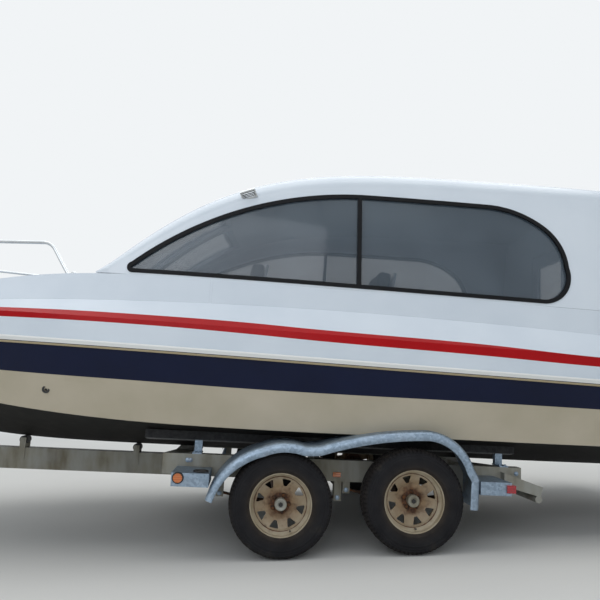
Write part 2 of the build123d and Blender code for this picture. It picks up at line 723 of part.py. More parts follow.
pod = Plane.XZ * make_face([
    ThreePointArc((LEG_X + 160, PROP_Z), (LEG_X + 110, PROP_Z + 38), (LEG_X + 10, PROP_Z + 52)),
    Line((LEG_X + 10, PROP_Z + 52), (LEG_X - 170, PROP_Z + 46)),
    Line((LEG_X - 170, PROP_Z + 46), (LEG_X - 170, PROP_Z)),
    Line((LEG_X - 170, PROP_Z), (LEG_X + 160, PROP_Z)),
])
leg = leg + revolve(pod, Axis((0, 0, PROP_Z), (1, 0, 0)))
skeg = profile_block(
    [(LEG_X + 70, PROP_Z - 30), (LEG_X - 60, PROP_Z - 175), (LEG_X - 120, PROP_Z - 175),
     (LEG_X - 140, PROP_Z - 30)], -6, 6
)
leg = leg + skeg
leg = leg + rod(12, (LEG_X - 170, 0, PROP_Z), (LEG_X - 262, 0, PROP_Z))
nodes["motor_leg"] = tilted(leg, MOTOR_TILT)
cowl_rows = [
    (COWL_FOOT_Z, 165, 150, 0), (COWL_FOOT_Z + 120, 190, 172, -18),
    (COWL_TOP_Z - 110, 185, 168, -26), (COWL_TOP_Z, 120, 120, -34),
]
cowl = loft([
    (Pos(LEG_X - 20 + shift, 0, z) * RectangleRounded(2 * half_x, 2 * half_y, 70)).face()
    for z, half_x, half_y, shift in cowl_rows
])
nodes["motor_cowl"] = tilted(cowl, MOTOR_TILT)
hub = rod(44, (LEG_X - 171, 0, PROP_Z), (LEG_X - 250, 0, PROP_Z))
hub = hub - rod(12 + RUN_CLEARANCE, (LEG_X - 100, 0, PROP_Z), (LEG_X - 300, 0, PROP_Z))
prop = hub
for k in range(PROP_BLADES):
    blade = Pos(0, 0, 95) * Box(9, 120, 150)
    blade = blade & (Pos(0, 0, 90) * Box(40, 200, 180))
    blade = fillet(blade.edges().filter_by(Axis.X), 45)
    blade = blade.moved(Location((0, 0, 0), (0, 0, 28)))
    blade = blade.moved(Location((0, 0, 0), (360 * k / PROP_BLADES, 0, 0)))
    prop = prop + blade.moved(Location((LEG_X - 211, 0, PROP_Z)))
prop = prop - rod(12 + RUN_CLEARANCE, (LEG_X - 100, 0, PROP_Z), (LEG_X - 300, 0, PROP_Z))
nodes["propeller"] = tilted(prop, MOTOR_TILT)

# Trailer frame
spine = block((SPINE_AFT_X, SPINE_FORE_X), (-SPINE_W / 2, SPINE_W / 2), (SPINE_TOP - SPINE_H, SPINE_TOP))
spine = spine - block(
    (SPINE_AFT_X - 1, SPINE_FORE_X + 1), (-SPINE_W / 2 + 5, SPINE_W / 2 - 5),
    (SPINE_TOP - SPINE_H + 5, SPINE_TOP - 5),
)
nodes["spine"] = spine
low = RAIL_TOP - RAIL_H
web = [
    (RAIL_OUT_Y - RAIL_W, RAIL_TOP), (RAIL_OUT_Y, RAIL_TOP), (RAIL_OUT_Y, low),
    (RAIL_OUT_Y - RAIL_W, low), (RAIL_OUT_Y - RAIL_W, low + RAIL_SKIN),
    (RAIL_OUT_Y - RAIL_SKIN, low + RAIL_SKIN), (RAIL_OUT_Y - RAIL_SKIN, RAIL_TOP - RAIL_SKIN),
    (RAIL_OUT_Y - RAIL_W, RAIL_TOP - RAIL_SKIN),
]
channel = extrude(Plane.YZ * polygon(web), amount=RAIL_FORE_X - RAIL_AFT_X, dir=(1, 0, 0))
nodes["side_rails"] = Compound(both(channel.moved(Location((RAIL_AFT_X, 0, 0)))))


def cross_member(x, end_y):
    rise = (RAIL_TOP - CROSS_MID_TOP) / (900 - 140)
    half_top = [(140, CROSS_MID_TOP), (end_y, CROSS_MID_TOP + rise * (end_y - 140))]
    half_low = [(end_y, low + RAIL_SKIN), (640, low + RAIL_SKIN), (150, SPINE_TOP)]
    points = half_top + half_low
    points = points + [(-y, z) for y, z in reversed(points)]
    solid = extrude(Plane.YZ * polygon(points), amount=CROSS_LEN, dir=(1, 0, 0))
    return solid.moved(Location((x, 0, 0)))


cross = [cross_member(RAIL_FORE_X, RAIL_OUT_Y), cross_member(RAIL_AFT_X + 60, RAIL_OUT_Y - RAIL_W)]
nodes["cross_members"] = Compound(cross)
tail = profile_block(TAIL_PROFILE, RAIL_OUT_Y, RAIL_OUT_Y + TAIL_W)
tails = both(tail)
tube_end = RAIL_OUT_Y + TAIL_W
tube = rod(TAIL_TUBE_R, (TAIL_TUBE_AT[0], -tube_end, TAIL_TUBE_AT[1]), (TAIL_TUBE_AT[0], tube_end, TAIL_TUBE_AT[1]))
nodes["tail_frame"] = tails[0] + tails[1] + tube

# Bunks under the hull's flat, posts on the rails, keel rollers on the spine
bunk = Location((0, BUNK_Y, BUNK_TOP_Z - BUNK_T / 2 + 3), (BUNK_LEAN, 0, 0)) * (
    Pos((BUNK_X[0] + BUNK_X[1]) / 2, 0, 0) * Box(BUNK_X[1] - BUNK_X[0], BUNK_W, BUNK_T + 10)
)
bunk = bunk - hull_outer
bunk = bunk.solids().sort_by(Axis.Z)[0]
nodes["bunks"] = Compound(both(bunk))
posts = []
for x in POST_XS:
    post = block((x - 30, x + 30), (BUNK_Y - 22, RAIL_OUT_Y), (RAIL_TOP, RAIL_TOP + 8))
    post = post + block((x - 25, x + 25), (BUNK_Y - 20, BUNK_Y + 20), (RAIL_TOP, 760))
    post = post - bunk - hull_outer
    posts.append(post.solids().sort_by(Axis.Z)[0])
nodes["bunk_posts"] = Compound([p for post in posts for p in both(post)])
rollers, brackets = [], []
for x in ROLLER_XS:
    keel = interpolated(HULL_STATIONS, x, 1)
    axis_z = keel - ROLLER_R - ROLLER_DROP
    rollers.append(rod(ROLLER_R, (x, -ROLLER_W / 2, axis_z), (x, ROLLER_W / 2, axis_z)))
    for y in (-ROLLER_W / 2 - 9, ROLLER_W / 2 + 1):
        arm = block((x - 22, x + 22), (y, y + 8), (SPINE_TOP - 90, axis_z + 16))
        brackets.append(arm)
    brackets.append(rod(9, (x, -ROLLER_W / 2 - 14, axis_z), (x, ROLLER_W / 2 + 14, axis_z)))
rollers = [r - rod(9, (x, -80, r.center().Z), (x, 80, r.center().Z)) for r, x in zip(rollers, ROLLER_XS)]
sets = []
for k in range(len(ROLLER_XS)):
    whole = brackets[3 * k] + brackets[3 * k + 1] + brackets[3 * k + 2]
    sets.append(whole - nodes["spine"])
for bracket in sets:
    nodes["spine"] = nodes["spine"] + bracket

# Winch post with its bow stop, winch, coupler and jack
post = block((WINCH_POST_X, WINCH_POST_X + 80), (-30, 30), (SPINE_TOP, 1230))
post = post + profile_block(
    [(WINCH_POST_X + 75, SPINE_TOP), (WINCH_POST_X + 420, SPINE_TOP), (WINCH_POST_X + 360, SPINE_TOP + 8),
     (WINCH_POST_X + 75, SPINE_TOP + 420)], -5, 5
)
post = post + block((WINCH_POST_X - 60, WINCH_POST_X + 440), (-50, 50), (SPINE_TOP, SPINE_TOP + 8))
for y in (-42, 34):
    post = post + block((BOW_X + 20, WINCH_POST_X + 60), (y, y + 8), (STOP_Z - 22, STOP_Z + 22))
post = post + rod(8, (BOW_X + 36, -46, STOP_Z), (BOW_X + 36, 46, STOP_Z))
post = post + block((WINCH_POST_X, WINCH_POST_X + 60), (-42, 42), (STOP_Z - 22, STOP_Z + 22))
nodes["winch_post"] = post
stop = rod(35, (BOW_X + 36, -33, STOP_Z), (BOW_X + 36, 33, STOP_Z))
stop = stop - rod(8, (BOW_X + 36, -46, STOP_Z), (BOW_X + 36, 46, STOP_Z))
nodes["keel_rollers"] = Compound(rollers + [stop])
winch_z = 960
drum = rod(38, (WINCH_POST_X + 140, -40, winch_z), (WINCH_POST_X + 140, 40, winch_z))
cheeks = block((WINCH_POST_X + 80, WINCH_POST_X + 200), (-52, -40), (winch_z - 60, winch_z + 60))
cheeks = cheeks + block((WINCH_POST_X + 80, WINCH_POST_X + 200), (40, 52), (winch_z - 60, winch_z + 60))
cheeks = cheeks + block((WINCH_POST_X + 80, WINCH_POST_X + 88), (-52, 52), (winch_z - 60, winch_z + 60))
crank = rod(9, (WINCH_POST_X + 140, 50, winch_z), (WINCH_POST_X + 140, 84, winch_z))
crank = crank + block((WINCH_POST_X + 130, WINCH_POST_X + 150), (76, 84), (winch_z - 10, winch_z + 180))
crank = crank + rod(13, (WINCH_POST_X + 140, 80, winch_z + 170), (WINCH_POST_X + 140, 170, winch_z + 170))
nodes["winch"] = drum + cheeks + crank
head = block((SPINE_FORE_X - 60, SPINE_FORE_X), (-62, 62), (SPINE_TOP, SPINE_TOP + 14))
nose = loft([
    Plane.YZ.offset(SPINE_FORE_X) * Pos(0, SPINE_TOP - 45) * Rectangle(110, 110),
    Plane.YZ.offset(COUPLER_X - 60) * Pos(0, SPINE_TOP - 40) * Rectangle(80, 74),
])
cup = Pos(COUPLER_X, 0, SPINE_TOP - 48) * Sphere(40)
cup = cup + rod(40, (COUPLER_X, 0, SPINE_TOP - 78), (COUPLER_X, 0, SPINE_TOP - 48))
bridge = block((COUPLER_X - 62, COUPLER_X), (-36, 36), (SPINE_TOP - 76, SPINE_TOP - 8))
coupler = head + nose + bridge + cup
coupler = coupler - (Pos(COUPLER_X, 0, SPINE_TOP - 50) * Sphere(BALL_R + 0.8))
coupler = coupler - rod(BALL_R + 0.8, (COUPLER_X, 0, SPINE_TOP - 120), (COUPLER_X, 0, SPINE_TOP - 50))
lever = profile_block(
    [(COUPLER_X - 150, SPINE_TOP + 2), (COUPLER_X - 30, SPINE_TOP - 10), (COUPLER_X - 30, SPINE_TOP + 6),
     (COUPLER_X - 190, SPINE_TOP + 60), (COUPLER_X - 200, SPINE_TOP + 44)], -12, 12
)
nodes["coupler"] = coupler + lever
jack_low = JACK_TOP - JACK_TUBE
jack = rod(JACK_R, (JACK_X, JACK_Y, jack_low), (JACK_X, JACK_Y, JACK_TOP))
jack = jack - rod(JACK_LEG_R + PIVOT_GAP, (JACK_X, JACK_Y, jack_low - 1), (JACK_X, JACK_Y, JACK_TOP - 20))
jack = jack + block((JACK_X - 50, JACK_X + 50), (JACK_Y + JACK_R - 6, -SPINE_W / 2), (330, 420))
jack = jack + rod(10, (JACK_X, JACK_Y, JACK_TOP), (JACK_X, JACK_Y, JACK_TOP + 30))
jack = jack + block((JACK_X - 10, JACK_X + 150), (JACK_Y - 10, JACK_Y + 10), (JACK_TOP + 24, JACK_TOP + 34))
jack = jack + rod(12, (JACK_X + 140, JACK_Y, JACK_TOP + 30), (JACK_X + 140, JACK_Y, JACK_TOP + 120))
nodes["jack_tube"] = jack
ground = -JACK_X * math.tan(math.radians(FRAME_PITCH))
foot = Location((JACK_X, JACK_Y, ground), (0, FRAME_PITCH, 0)) * (
    Pos(0, 0, JACK_FOOT_T / 2) * Cylinder(JACK_FOOT_R, JACK_FOOT_T)
)
stalk = rod(JACK_LEG_R, (JACK_X, JACK_Y, ground + JACK_FOOT_T), (JACK_X, JACK_Y, JACK_TOP - 300))
nodes["jack_leg"] = foot + stalk

# Mudguards, steps and lamps
fender_path = Wire([
    ThreePointArc((890, 298), (792, 500), (568, 638)),
    ThreePointArc((568, 638), (430, 671), (300, 655)),
    Line((300, 655), (215, 660)),
    ThreePointArc((215, 660), (-140, 748), (-473, 779)),
    ThreePointArc((-473, 779), (-640, 722), (-765, 557)),
    Line((-765, 557), (-800, 495)),
    Line((-800, 495), (-792, 320)),
])
closing = [
    Line((-792, 320), (-792, 100)), Line((-792, 100), (890, 100)), Line((890, 100), (890, 298))
]
under_fender = make_face(fender_path.edges() + closing)
fender = side_prism(
    under_fender - offset(under_fender, amount=-FENDER_T), FENDER_IN_Y, FENDER_OUT_Y - FENDER_ROLL
)
for k in range(FENDER_ROLL_STEPS):
    # the rolled outer edge, in steps that follow a quarter circle
    y_low = FENDER_OUT_Y - FENDER_ROLL * (1 - k / FENDER_ROLL_STEPS)
    y_high = FENDER_OUT_Y - FENDER_ROLL * (1 - (k + 1) / FENDER_ROLL_STEPS)
    drop = FENDER_ROLL - math.sqrt(FENDER_ROLL**2 - (y_low + FENDER_ROLL - FENDER_OUT_Y) ** 2)
    next_drop = FENDER_ROLL - math.sqrt(
        FENDER_ROLL**2 - (y_high + FENDER_ROLL - FENDER_OUT_Y) ** 2
    )
    deep = FENDER_LIP if k == FENDER_ROLL_STEPS - 1 else next_drop + FENDER_T
    outer = under_fender if drop == 0 else offset(under_fender, amount=-drop)
    fender = fender + side_prism(outer - offset(under_fender, amount=-deep), y_low, y_high)
fender = fender - block((-900, 1000), (FENDER_IN_Y - 10, FENDER_OUT_Y + 10), (0, FENDER_FOOT_Z))
hull_side = hull_body(-FENDER_HULL_GAP) & block((-1000, 1000), (700, 1300), (650, 900))
fender = (fender - hull_side).solids().sort_by(SortBy.VOLUME)[-1]
nodes["fenders"] = Compound(both(fender))
steps, amber, red = [], [], []
for low_x, high_x, top in (STEP_FORE, STEP_AFT):
    step = block((low_x, high_x), (RAIL_OUT_Y, STEP_OUT_Y), (top - STEP_H, top))
    step = step - block(
        (low_x + STEP_SKIN, high_x - STEP_SKIN), (RAIL_OUT_Y - 1, STEP_OUT_Y - STEP_SKIN),
        (top - STEP_H - 1, top - STEP_SKIN),
    )
    steps.append(step - fender)
steps = [step.solids().sort_by(SortBy.VOLUME)[-1] for step in steps]
nodes["steps"] = Compound([p for step in steps for p in both(step)])
lamp = rod(LAMP_R, (LAMP_X, STEP_OUT_Y, LAMP_Z), (LAMP_X, STEP_OUT_Y + LAMP_T, LAMP_Z))
nodes["side_lamps"] = Compound(both(lamp))
lens_top = STEP_AFT[2] - TAIL_LAMP_DROP
lamp = block(
    (STEP_AFT[0] - TAIL_LAMP_T, STEP_AFT[0] + TAIL_LAMP_LAP), (TAIL_LAMP_IN_Y, STEP_OUT_Y + TAIL_LAMP_T / 2),
    (lens_top - TAIL_LAMP_H, lens_top),
)
lamp = lamp - block(
    (STEP_AFT[0], STEP_AFT[1]), (RAIL_OUT_Y, STEP_OUT_Y), (STEP_AFT[2] - STEP_H, STEP_AFT[2])
)
nodes["tail_lamps"] = Compound(both(lamp))

# Running gear
pitch = math.radians(FRAME_PITCH)
axle_places = []
for world_x in (AXLE_SPACING / 2, -AXLE_SPACING / 2):
    axle_places.append((
        world_x * math.cos(pitch) + TYRE_R * math.sin(pitch),
        -world_x * math.sin(pitch) + TYRE_R * math.cos(pitch),
    ))
axles, springs, hangers = [], [], []
for x, z in axle_places:
    beam = block(
        (x - AXLE_BEAM / 2, x + AXLE_BEAM / 2), (-AXLE_BEAM_Y, AXLE_BEAM_Y),
        (z - AXLE_BEAM / 2, z + AXLE_BEAM / 2),
    )
    beam = beam + rod(SPINDLE_R, (x, -SPINDLE_END_Y, z), (x, SPINDLE_END_Y, z))
    axles.append(beam)
    seat_z = z - AXLE_BEAM / 2 - LEAF_COUNT * LEAF_T - PIVOT_GAP
    leaves = None
    for k in range(LEAF_COUNT):
        half = SPRING_HALF - 95 * k
        rise = SPRING_CAMBER * (half / SPRING_HALF) ** 2
        drop = (LEAF_COUNT - 1 - k) * LEAF_T
        arc_low = ThreePointArc(
            (x - half, seat_z + drop + rise), (x, seat_z + drop), (x + half, seat_z + drop + rise)
        )
        arc_high = ThreePointArc(
            (x + half, seat_z + drop + rise + LEAF_T), (x, seat_z + drop + LEAF_T),
            (x - half, seat_z + drop + rise + LEAF_T)
        )
        ends = [
            Line((x + half, seat_z + drop + rise), (x + half, seat_z + drop + rise + LEAF_T)),
            Line((x - half, seat_z + drop + rise + LEAF_T), (x - half, seat_z + drop + rise)),
        ]
        leaf = make_face([arc_low, arc_high] + ends)
        solid = side_prism(leaf, SPRING_Y - SPRING_W / 2, SPRING_Y + SPRING_W / 2)
        leaves = solid if leaves is None else leaves + solid
    eye_z = seat_z + 2 * LEAF_T + SPRING_CAMBER
    for sign in (1, -1):
        leaves = leaves + rod(
            14, (x + sign * SPRING_HALF, SPRING_Y - SPRING_W / 2, eye_z),
            (x + sign * SPRING_HALF, SPRING_Y + SPRING_W / 2, eye_z),
        )
        leaves = leaves - rod(
            7, (x + sign * SPRING_HALF, SPRING_Y - 60, eye_z),
            (x + sign * SPRING_HALF, SPRING_Y + 60, eye_z),
        )
    springs.append(leaves)
    for sign in (1, -1):
        eye_x = x + sign * SPRING_HALF
        ears = None
        for y in (SPRING_Y - SPRING_W / 2 - HANGER_T - 1, SPRING_Y + SPRING_W / 2 + 1):
            ear = block((eye_x - 24, eye_x + 24), (y, y + HANGER_T), (eye_z - 22, low))
            ears = ear if ears is None else ears + ear
        ears = ears + rod(7, (eye_x, SPRING_Y - 36, eye_z), (eye_x, SPRING_Y + 36, eye_z))
        hangers.append(ears)
nodes["axles"] = Compound(axles)
nodes["springs"] = Compound([p for spring in springs for p in both(spring)])
nodes["spring_hangers"] = Compound([p for hanger in hangers for p in both(hanger)])


def tyre_body():
    half = TYRE_W / 2
    tread_half = half - TYRE_SHOULDER
    edge = [
        Line((RIM_SEAT_R, -BEAD_HALF), (RIM_SEAT_R, BEAD_HALF)),
        Line((RIM_SEAT_R, BEAD_HALF), (RIM_SEAT_R + 22, BEAD_HALF + 1)),
        ThreePointArc((RIM_SEAT_R + 22, BEAD_HALF + 1), (RIM_SEAT_R + 62, half), (TYRE_R - 32, half - 8)),
        ThreePointArc((TYRE_R - 32, half - 8), (TYRE_R - 12, half - 20), (TYRE_R - 4, tread_half)),
        ThreePointArc((TYRE_R - 4, tread_half), (TYRE_R, 0), (TYRE_R - 4, -tread_half)),
        ThreePointArc((TYRE_R - 4, -tread_half), (TYRE_R - 12, -half + 20), (TYRE_R - 32, -half + 8)),
        ThreePointArc(
            (TYRE_R - 32, -half + 8), (RIM_SEAT_R + 62, -half), (RIM_SEAT_R + 22, -BEAD_HALF - 1)
        ),
        Line((RIM_SEAT_R + 22, -BEAD_HALF - 1), (RIM_SEAT_R, -BEAD_HALF)),
    ]
    return revolve(make_face(edge), Axis((0, 0, 0), (0, 1, 0)))


def rim_body():
    # barrel, spoked disc, hub and grease cap, turned about Y with the cap outwards
    seat, wall = RIM_SEAT_R - 0.3, RIM_WALL
    barrel = [
        (RIM_FLANGE_R, 84), (RIM_FLANGE_R, 78), (seat, 76), (seat, 48), (RIM_WELL_R, 30),
        (RIM_WELL_R, -30), (seat, -48), (seat, -76), (RIM_FLANGE_R, -78), (RIM_FLANGE_R, -84),
        (seat - wall, -82), (seat - wall, -46), (RIM_WELL_R - wall, -28),
        (RIM_WELL_R - wall, 28), (seat - wall, 46), (seat - wall, 82),
    ]
    disc = [(40, 8), (95, 8), (150, 26), (RIM_WELL_R, 26), (RIM_WELL_R, 18), (152, 18), (97, 0), (40, 0)]
    axis = Axis((0, 0, 0), (0, 1, 0))
    spun = revolve(polygon(disc), axis)
    for k in range(RIM_WINDOWS):
        hole = Trapezoid(WINDOW_WIDE, WINDOW_DEEP, WINDOW_TAPER, rotation=90)
        hole = fillet(hole.vertices(), WINDOW_ROUND)
        window = extrude(Plane.XZ * (Pos(WINDOW_RING_R, 0) * hole), amount=60, both=True)
        spun = spun - window.moved(Location((0, 0, 0), (0, 360 * (k + 0.5) / RIM_WINDOWS, 0)))
    spun = spun + revolve(polygon(barrel), axis)
    hub = [
        (SPINDLE_R + RUN_CLEARANCE, -66), (HUB_R, -66), (HUB_R, -6), (HUB_R + 12, -6), (HUB_R + 12, 0),
        (40, 12), (HUB_CAP_R, 14), (HUB_CAP_R, 52), (HUB_CAP_R - 8, 60), (0, 62), (0, 56),
        (SPINDLE_R + RUN_CLEARANCE, 56),
    ]
    return spun + revolve(polygon(hub), axis)


tyre, rim = tyre_body(), rim_body()
wheel_y = TYRE_OUTER_Y - TYRE_W / 2
for end, (x, z) in zip(("fore", "aft"), axle_places):
    for side_name, sign in (("port", 1), ("starboard", -1)):
        at = Location((x, sign * wheel_y, z), (0, 0, 0 if sign == 1 else 180))
        turn = Location((0, 0, 0), (0, WHEEL_REST_TURN[end], 0))
        nodes[f"tyre_{end}_{side_name}"] = tyre.moved(at)
        nodes[f"rim_{end}_{side_name}"] = rim.moved(at * turn)

# Everything leans back by the frame's pitch about the ground below the axles,
# then moves so that the origin is below the middle of the whole outline
lean = Location((0, 0, 0), (0, -FRAME_PITCH, 0))
leaned = {name: solid.moved(lean) for name, solid in nodes.items()}
low_x = min(solid.bounding_box().min.X for solid in leaned.values())
high_x = max(solid.bounding_box().max.X for solid in leaned.values())
shift = Location((-(low_x + high_x) / 2, 0, 0))
print("moved along X by", -(low_x + high_x) / 2)
for name, solid in leaned.items():
    export_step(solid.moved(shift), f"parts/{name}.step")
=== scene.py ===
import math

import bmesh
import bpy
from mathutils import Matrix, Vector


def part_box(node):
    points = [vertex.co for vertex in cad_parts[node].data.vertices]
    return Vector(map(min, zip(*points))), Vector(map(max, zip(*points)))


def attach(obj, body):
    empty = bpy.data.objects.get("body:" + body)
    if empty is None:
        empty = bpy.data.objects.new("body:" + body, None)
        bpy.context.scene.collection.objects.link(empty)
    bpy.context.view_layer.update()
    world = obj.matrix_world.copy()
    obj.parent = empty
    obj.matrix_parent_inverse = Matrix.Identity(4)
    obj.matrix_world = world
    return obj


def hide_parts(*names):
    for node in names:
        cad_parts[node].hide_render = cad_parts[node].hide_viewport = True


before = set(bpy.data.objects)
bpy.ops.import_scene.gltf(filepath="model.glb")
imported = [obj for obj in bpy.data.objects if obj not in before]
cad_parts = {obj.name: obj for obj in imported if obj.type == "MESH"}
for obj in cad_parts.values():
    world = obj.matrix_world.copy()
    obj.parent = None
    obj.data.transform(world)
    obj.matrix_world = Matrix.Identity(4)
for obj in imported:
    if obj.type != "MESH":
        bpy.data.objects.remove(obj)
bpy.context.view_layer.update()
bpy.ops.object.select_all(action="DESELECT")

# Sizes in mm, in the trailer's level frame: X forward from the middle of the axles,
# Z up from the ground. PITCH and SHIFT set that frame in the row's frame.
PITCH = math.radians(3.5)
SHIFT = -676.7248
SHEER_Z, SHEER_RISE = 1170, 0.0205
AXLE_SPACING, TYRE_R, TYRE_W, TYRE_OUTER_Y = 828, 320, 205, 1190
WHEEL_Y = TYRE_OUTER_Y - TYRE_W / 2
WHEELS_MID_X = -0.677
SEAT_XS, SEAT_YS = (925, -15), (430, -430)


def place(x, y, z):
    """A point of the level frame, in mm, as metres in the row's frame."""
    return Vector((
        (x * math.cos(PITCH) - z * math.sin(PITCH) + SHIFT) / 1000,
        y / 1000,
        (x * math.sin(PITCH) + z * math.cos(PITCH)) / 1000,
    ))


LEAN = Matrix.Translation(place(0, 0, 0)) @ Matrix.Rotation(-PITCH, 4, "Y")


# ---- Materials ----

def linear(code):
    """An sRGB hex colour as linear values and a full alpha."""
    parts = [int(code[k:k + 2], 16) / 255 for k in (0, 2, 4)]
    return [c / 12.92 if c <= 0.04045 else ((c + 0.055) / 1.055) ** 2.4 for c in parts] + [1.0]


def feed(tree, value, socket):
    """Fills a socket from a number, a hex colour, an output, or a node's first output in use."""
    if isinstance(value, bpy.types.Node):
        value = next(out for out in value.outputs if out.enabled)
    if isinstance(value, bpy.types.NodeSocket):
        tree.links.new(value, socket)
    else:
        socket.default_value = linear(value) if isinstance(value, str) else value


def add(tree, kind, inputs=(), stops=None, **settings):
    """Adds a node with its settings, its inputs by name or in order, and its stops."""
    node = tree.nodes.new("ShaderNode" + kind)
    for name, value in settings.items():
        setattr(node, name, value)
    for key, value in inputs.items() if isinstance(inputs, dict) else enumerate(inputs):
        feed(tree, value, node.inputs[key])
    if kind == "ValToRGB":
        ramp = node.color_ramp.elements
        while len(ramp) < len(stops):
            ramp.new(0.5)
        for element, (at, code) in zip(ramp, stops):
            element.position = at
        for element, (at, code) in zip(ramp, stops):
            element.color = linear(code)
    if kind == "FloatCurve":
        points = node.mapping.curves[0].points
        while len(points) < len(stops):
            points.new(0.5, 0.5)
        for point, at in zip(points, stops):
            point.location = at
        node.mapping.update()
    return node


def start(name, colour, rough, metal=0.0, **sockets):
    """A material with one shader; constants go on the shader's own sockets."""
    mat = bpy.data.materials.new(name)
    mat.use_nodes = True
    tree = mat.node_tree
    shader = tree.nodes["Principled BSDF"]
    shader.inputs["Base Color"].default_value = linear(colour)
    shader.inputs["Roughness"].default_value = rough
    shader.inputs["Metallic"].default_value = metal
    for key, value in sockets.items():
        shader.inputs[key.replace("_", " ").title().replace("Ior", "IOR")].default_value = value
    return mat, tree, shader, add(tree, "TexCoord").outputs["Object"]


def blotches(tree, where, size, stops, detail=4.0):
    """Cloudy colour; size is that of the clouds in mm."""
    noise = add(tree, "TexNoise", {"Vector": where, "Scale": 1000 / size, "Detail": detail})
    return add(tree, "ValToRGB", (noise,), stops)


def dress(tree, shader, colour, rough=None, raised=None):
    """Links a finish to the shader: its colour, its roughness, and a height with its depth in mm."""
    feed(tree, colour, shader.inputs["Base Color"])
    if rough is not None:
        feed(tree, rough, shader.inputs["Roughness"])
    if raised is not None:
        height, depth = raised
        bump = add(tree, "Bump", {"Height": height, "Distance": depth / 1000})
        feed(tree, bump, shader.inputs["Normal"])


def level_of(tree, where):
    """X, Y and Z of the trailer's level frame, in mm."""
    level = add(tree, "Mapping", {
        "Vector": where,
        "Location": (-SHIFT * math.cos(PITCH), 0, SHIFT * math.sin(PITCH)),
        "Rotation": (0, PITCH, 0),
        "Scale": (1000, 1000, 1000),
    })
    parts = add(tree, "SeparateXYZ", (level,))
    return parts.outputs[0], parts.outputs[1], parts.outputs[2]


# The range of the curves that hold the painted edges, and how soft such an edge is, in mm
CURVE_X, CURVE_Z, EDGE_SOFT = (-3000, 4300), (600, 1600), 1.5


def over(tree, x, z, line):
    """1 above a line of (X, Z) points in the level frame, 0 below it."""
    run = CURVE_X[1] - CURVE_X[0]
    rise = CURVE_Z[1] - CURVE_Z[0]
    stops = [((px - CURVE_X[0]) / run, (pz - CURVE_Z[0]) / rise) for px, pz in line]
    along = add(tree, "Math", (x, 1 / run, -CURVE_X[0] / run), operation="MULTIPLY_ADD")
    curve = add(tree, "FloatCurve", {"Value": along}, stops)
    edge = add(tree, "Math", (curve, rise, CURVE_Z[0]), operation="MULTIPLY_ADD")
    above = add(tree, "Math", (z, edge), operation="SUBTRACT")
    return add(tree, "Math", (above, 1 / EDGE_SOFT, 0.5), operation="MULTIPLY_ADD", use_clamp=True)


def outward(tree, y):
    """1 where the surface faces away from the boat's middle plane, and the surface's normal."""
    normal = add(tree, "SeparateXYZ", (add(tree, "NewGeometry").outputs["True Normal"],))
    hand = add(tree, "Math", (y,), operation="SIGN")
    side = add(tree, "Math", (hand, normal.outputs[1]), operation="MULTIPLY")
    return add(tree, "Math", (side, 0.1), operation="GREATER_THAN"), normal.outputs


# Painted edges, measured in the photograph and carried on to the bow and the stern
STRIPE_TOP = [(-3000, 1280), (-1585, 1305), (-806, 1345), (233, 1375), (738, 1395), (1232, 1406),
              (2192, 1415), (3200, 1402), (4300, 1376)]
STRIPE_FOOT = [(-3000, 1220), (-1585, 1243), (-806, 1271), (231, 1301), (735, 1322), (1229, 1338),
               (2187, 1352), (3200, 1356), (4300, 1350)]
NAVY_FOOT = [(-3000, 948), (-1585, 967), (-813, 974), (214, 978), (712, 983), (1201, 994),
             (2152, 1016), (3200, 1062), (4300, 1130)]
CHINE = [(-3000, 726), (-1937, 724), (-1075, 724), (-212, 725), (650, 728), (1512, 748),
         (2375, 818), (3237, 948), (4300, 1190)]
TRANSOM_X = -2740


def plain(name, base, rough, clouds, grain=None, metal=0.0, **sockets):
    """A cloudy finish: its clouds as blotches() takes them, and its grain's node, size in mm,
    detail and depth in mm."""
    mat, tree, shader, where = start(name, base, rough, metal, **sockets)
    raised = None
    if grain:
        kind, size, detail, depth = grain
        texture = add(tree, kind, {"Vector": where, "Scale": 1000 / size, "Detail": detail})
        raised = (texture, depth)
    dress(tree, shader, blotches(tree, where, *clouds), raised=raised)
    return mat


# Gelcoat: polyester resin sprayed in a mould, so it is smooth, glossy and a little wavy
WHITE_STOPS = [(0.3, "D2DBE4"), (0.7, "DAE2EA")]


def gelcoat(name, rough=0.2, gloss=0.5, coat=0.3):
    """White gelcoat: its material, tree, shader, coordinates and colour."""
    mat, tree, shader, where = start(name, WHITE_STOPS[0][1], rough, specular_ior_level=gloss,
                                     coat_weight=coat, coat_roughness=0.06)
    colour = blotches(tree, where, 420, WHITE_STOPS)
    wave = add(tree, "TexNoise", {"Vector": where, "Scale": 1000 / 300, "Detail": 1.0})
    dress(tree, shader, colour, raised=(wave, 1.2))
    return mat, tree, shader, where, colour


white_gelcoat = gelcoat("white_gelcoat")[0]

# Deck: a red film stripe on white gelcoat, duller than the rest
striped_gelcoat, tree, shader, where, colour = gelcoat("striped_gelcoat", 0.24, 0.15, 0.0)
x, y, z = level_of(tree, where)
outside, normal = outward(tree, y)
under_top = add(tree, "Math", (1.0, over(tree, x, z, STRIPE_TOP)), operation="SUBTRACT")
stripe = add(tree, "Math", (over(tree, x, z, STRIPE_FOOT), under_top), operation="MULTIPLY")
stripe = add(tree, "Math", (stripe, outside), operation="MULTIPLY")
red_film = blotches(tree, where, 300, [(0.3, "A3020B"), (0.7, "B40812")])
dress(tree, shader, add(tree, "Mix", {0: stripe, 6: colour, 7: red_film}, data_type="RGBA"))

